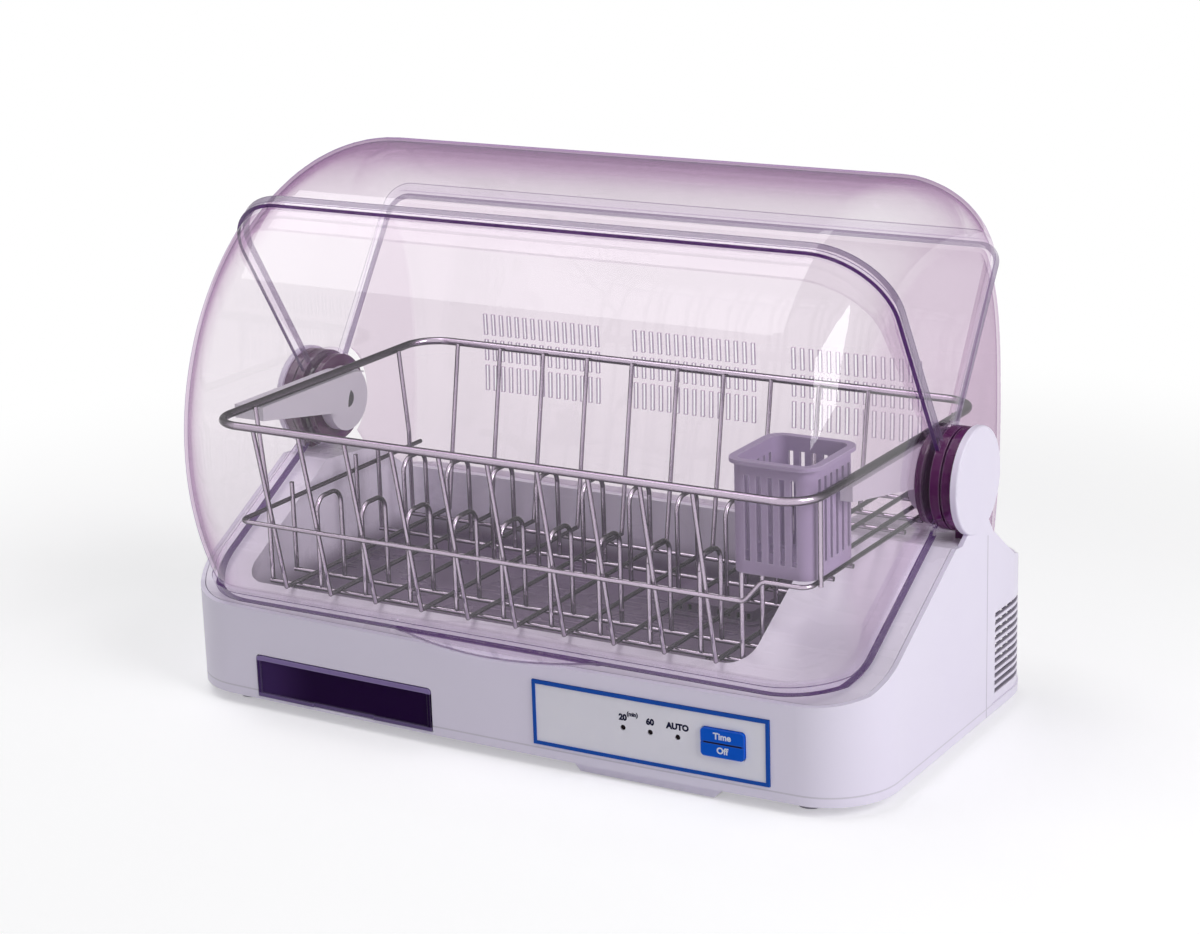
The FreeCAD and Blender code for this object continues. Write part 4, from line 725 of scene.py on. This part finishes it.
def settle(piece, finish, body):
    """Put a new piece's place into its mesh and give it its finish, body and material slot."""
    bpy.ops.object.transform_apply(location=True, rotation=True, scale=True)
    piece.data.materials.clear()
    piece.data.materials.append(FINISHES[finish])
    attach(piece, body)
    piece.select_set(False)


def lettering(name, words, x, z, height, weight, proud, finish, body, slot):
    """Printed word laid on the bowed front face; weight is its stroke's gain over its height."""
    lean = math.asin(x / BOW_RADIUS)
    place = (x, FRONT_FACE_Y - proud + bow(x), z)
    bpy.ops.object.text_add(location=place, rotation=(math.pi / 2, 0.0, lean))
    piece = bpy.context.object
    piece.name = name
    text = piece.data
    text.body = words
    text.size = height / CAP_HEIGHT
    text.align_x = "CENTER"
    text.align_y = "CENTER"
    text.offset = height * weight
    text.extrude = INK
    text.resolution_u = 3
    bpy.ops.object.convert(target="MESH")
    settle(bpy.context.object, finish, body)


LAMP_X = (92.0 * MM, 110.5 * MM, 129.0 * MM)
CAPTION_Z = 42.9 * MM
CAPTION_H, MIN_H, BUTTON_WORD_H = 3.7 * MM, 2.5 * MM, 3.9 * MM
CAPTION_WEIGHT, MIN_WEIGHT, BUTTON_WORD_WEIGHT = 0.085, 0.07, 0.05
MIN_STEP = (6.6 * MM, 2.8 * MM)         # "(min)" lies this far right of "20" and above it
BUTTON_WORD_STEP = 4.4 * MM             # the button's words lie this far from its groove
ON_LABEL = (LABEL_PROUD, "navy_ink", "base", "label_film")
ON_BUTTON = (BUTTON_PROUD, "white_ink", "time_button", "button_blue")

for label, words, x in zip(("caption_20", "caption_60", "caption_auto"), ("20", "60", "AUTO"), LAMP_X):
    lettering(label, words, x, CAPTION_Z, CAPTION_H, CAPTION_WEIGHT, *ON_LABEL)
lettering("caption_min", "(min)", LAMP_X[0] + MIN_STEP[0], CAPTION_Z + MIN_STEP[1], MIN_H, MIN_WEIGHT,
          *ON_LABEL)
for label, words, side in (("caption_time", "Time", 1), ("caption_off", "Off", -1)):
    z = BUTTON_MIDDLE[1] + side * BUTTON_WORD_STEP
    lettering(label, words, BUTTON_MIDDLE[0], z, BUTTON_WORD_H, BUTTON_WORD_WEIGHT, *ON_BUTTON)


# ---- stage ---------------------------------------------------------------------------------------
FLOOR_SIZE = 30.0
FLOOR_TONES = ((0.86, 0.86, 0.87), (0.88, 0.88, 0.89))
FLOOR_GLOW = 0.35           # light that the floor near the cabinet adds of its own
FLOOR_FADE = (0.45, 0.95)   # it turns white between these distances
WORLD_LIGHT = 0.21          # strength of the surroundings as a light
REAR_SHADE = 0.85           # how much darker the studio behind the cabinet is in mirrored rays
REAR_SHADE_SPAN = (0.10, 0.55)
WALL_CROSSINGS = 32         # clear faces that a ray may pass, with every cover open

MIDDLE_OF_CABINET = (0.0, 0.0, 0.15)
LIGHTS = (                  # name, place, target, size, power
    ("key_light", (1.9, -0.43, 1.15), MIDDLE_OF_CABINET, (1.1, 1.2), 24.0),
    ("top_light", (-1.05, -0.15, 2.0), (-1.05, -0.15, 0.0), (1.6, 1.7), 17.0),
    ("front_light", (-1.2, -2.2, 0.9), MIDDLE_OF_CABINET, (1.0, 1.2), 0.2),
)

CAMERA_PLACE = (0.8876, -1.4575, 0.6528)
CAMERA_AZIMUTH = math.radians(31.13)
CAMERA_ELEVATION = math.radians(16.29)
CAMERA_ROLL = math.radians(-1.78)
CAMERA_LENS = 83.66         # millimetres, on a sensor this wide
CAMERA_SENSOR = 36.0


def seen_rays(tree):
    """Rays that show the white background: from the camera, off gloss and through clear walls."""
    path = add(tree, "LightPath").outputs
    return highest(tree, path["Is Camera Ray"], path["Is Glossy Ray"], path["Is Transmission Ray"])


def make_floor():
    """Pale floor that keeps the cabinet's shadow and turns white away from it."""
    bpy.ops.mesh.primitive_plane_add(size=FLOOR_SIZE, location=(0.0, 0.0, -0.2 * MM))
    floor = bpy.context.object
    floor.name = "floor"
    material, tree = blank("pale_floor")
    place = object_place(tree)
    tone = blend(tree, noise(tree, place, Scale=3.0, Detail=2.0), *FLOOR_TONES)
    paper = add(tree, "BsdfPrincipled", {"Base Color": tone, "Roughness": 0.8}).outputs[0]
    glow = add(tree, "Emission", {"Color": WHITE, "Strength": FLOOR_GLOW}).outputs[0]
    near = add(tree, "AddShader", {0: paper, 1: glow}).outputs[0]
    white = add(tree, "Emission", {"Color": WHITE, "Strength": 1.0}).outputs[0]
    away = ramp(tree, vector(tree, "LENGTH", place).outputs["Value"], FLOOR_FADE)
    shown = add(tree, "MixShader", {0: away, 1: near, 2: white}).outputs[0]
    close(tree, add(tree, "MixShader", {0: seen_rays(tree), 1: paper, 2: shown}).outputs[0])
    floor.data.materials.append(material)
    floor.select_set(False)


def make_world():
    """White studio, dimmer as a light and darker behind the cabinet in its reflections."""
    world = bpy.data.worlds.new("studio")
    bpy.context.scene.world = world
    world.use_nodes = True
    tree = world.node_tree
    tree.nodes.clear()
    way = axes(tree, add(tree, "TexCoord").outputs["Generated"])
    behind = ramp(tree, way["Y"], REAR_SHADE_SPAN, (0.0, REAR_SHADE))
    mirrored = product(tree, behind, add(tree, "LightPath").outputs["Is Glossy Ray"])
    seen = maths(tree, "SUBTRACT", seen_rays(tree), mirrored)
    strength = maths(tree, "MULTIPLY_ADD", seen, 1.0 - WORLD_LIGHT, WORLD_LIGHT)
    sky = add(tree, "Background", {"Color": WHITE, "Strength": strength})
    end = add(tree, "OutputWorld")
    tree.links.new(sky.outputs[0], end.inputs["Surface"])


def softbox(name, place, target, size, power):
    bpy.ops.object.light_add(type="AREA", location=place)
    lamp = bpy.context.object
    lamp.name = name
    lamp.data.shape = "RECTANGLE"
    lamp.data.size, lamp.data.size_y = size
    lamp.data.energy = power
    aim = Vector(target) - Vector(place)
    lamp.rotation_mode = "QUATERNION"
    lamp.rotation_quaternion = aim.to_track_quat("-Z", "Y")
    lamp.select_set(False)


def make_camera():
    ca, sa = math.cos(CAMERA_AZIMUTH), math.sin(CAMERA_AZIMUTH)
    ce, se = math.cos(CAMERA_ELEVATION), math.sin(CAMERA_ELEVATION)
    back = Vector((sa * ce, -ca * ce, se))
    right = Vector((ca, sa, 0.0))
    up = back.cross(right)
    cr, sr = math.cos(CAMERA_ROLL), math.sin(CAMERA_ROLL)
    level_right = right * cr + up * sr
    level_up = up * cr - right * sr
    data = bpy.data.cameras.new("camera")
    camera = bpy.data.objects.new("camera", data)
    bpy.context.scene.collection.objects.link(camera)
    turn = Matrix((level_right, level_up, back)).transposed().to_4x4()
    camera.matrix_world = Matrix.Translation(CAMERA_PLACE) @ turn
    data.lens = CAMERA_LENS
    data.sensor_width = CAMERA_SENSOR
    data.clip_start, data.clip_end = 0.01, 100.0
    bpy.context.scene.camera = camera


make_floor()
make_world()
for light in LIGHTS:
    softbox(*light)
make_camera()
bpy.context.scene.view_settings.view_transform = "Standard"
bpy.context.scene.cycles.transparent_max_bounces = WALL_CROSSINGS
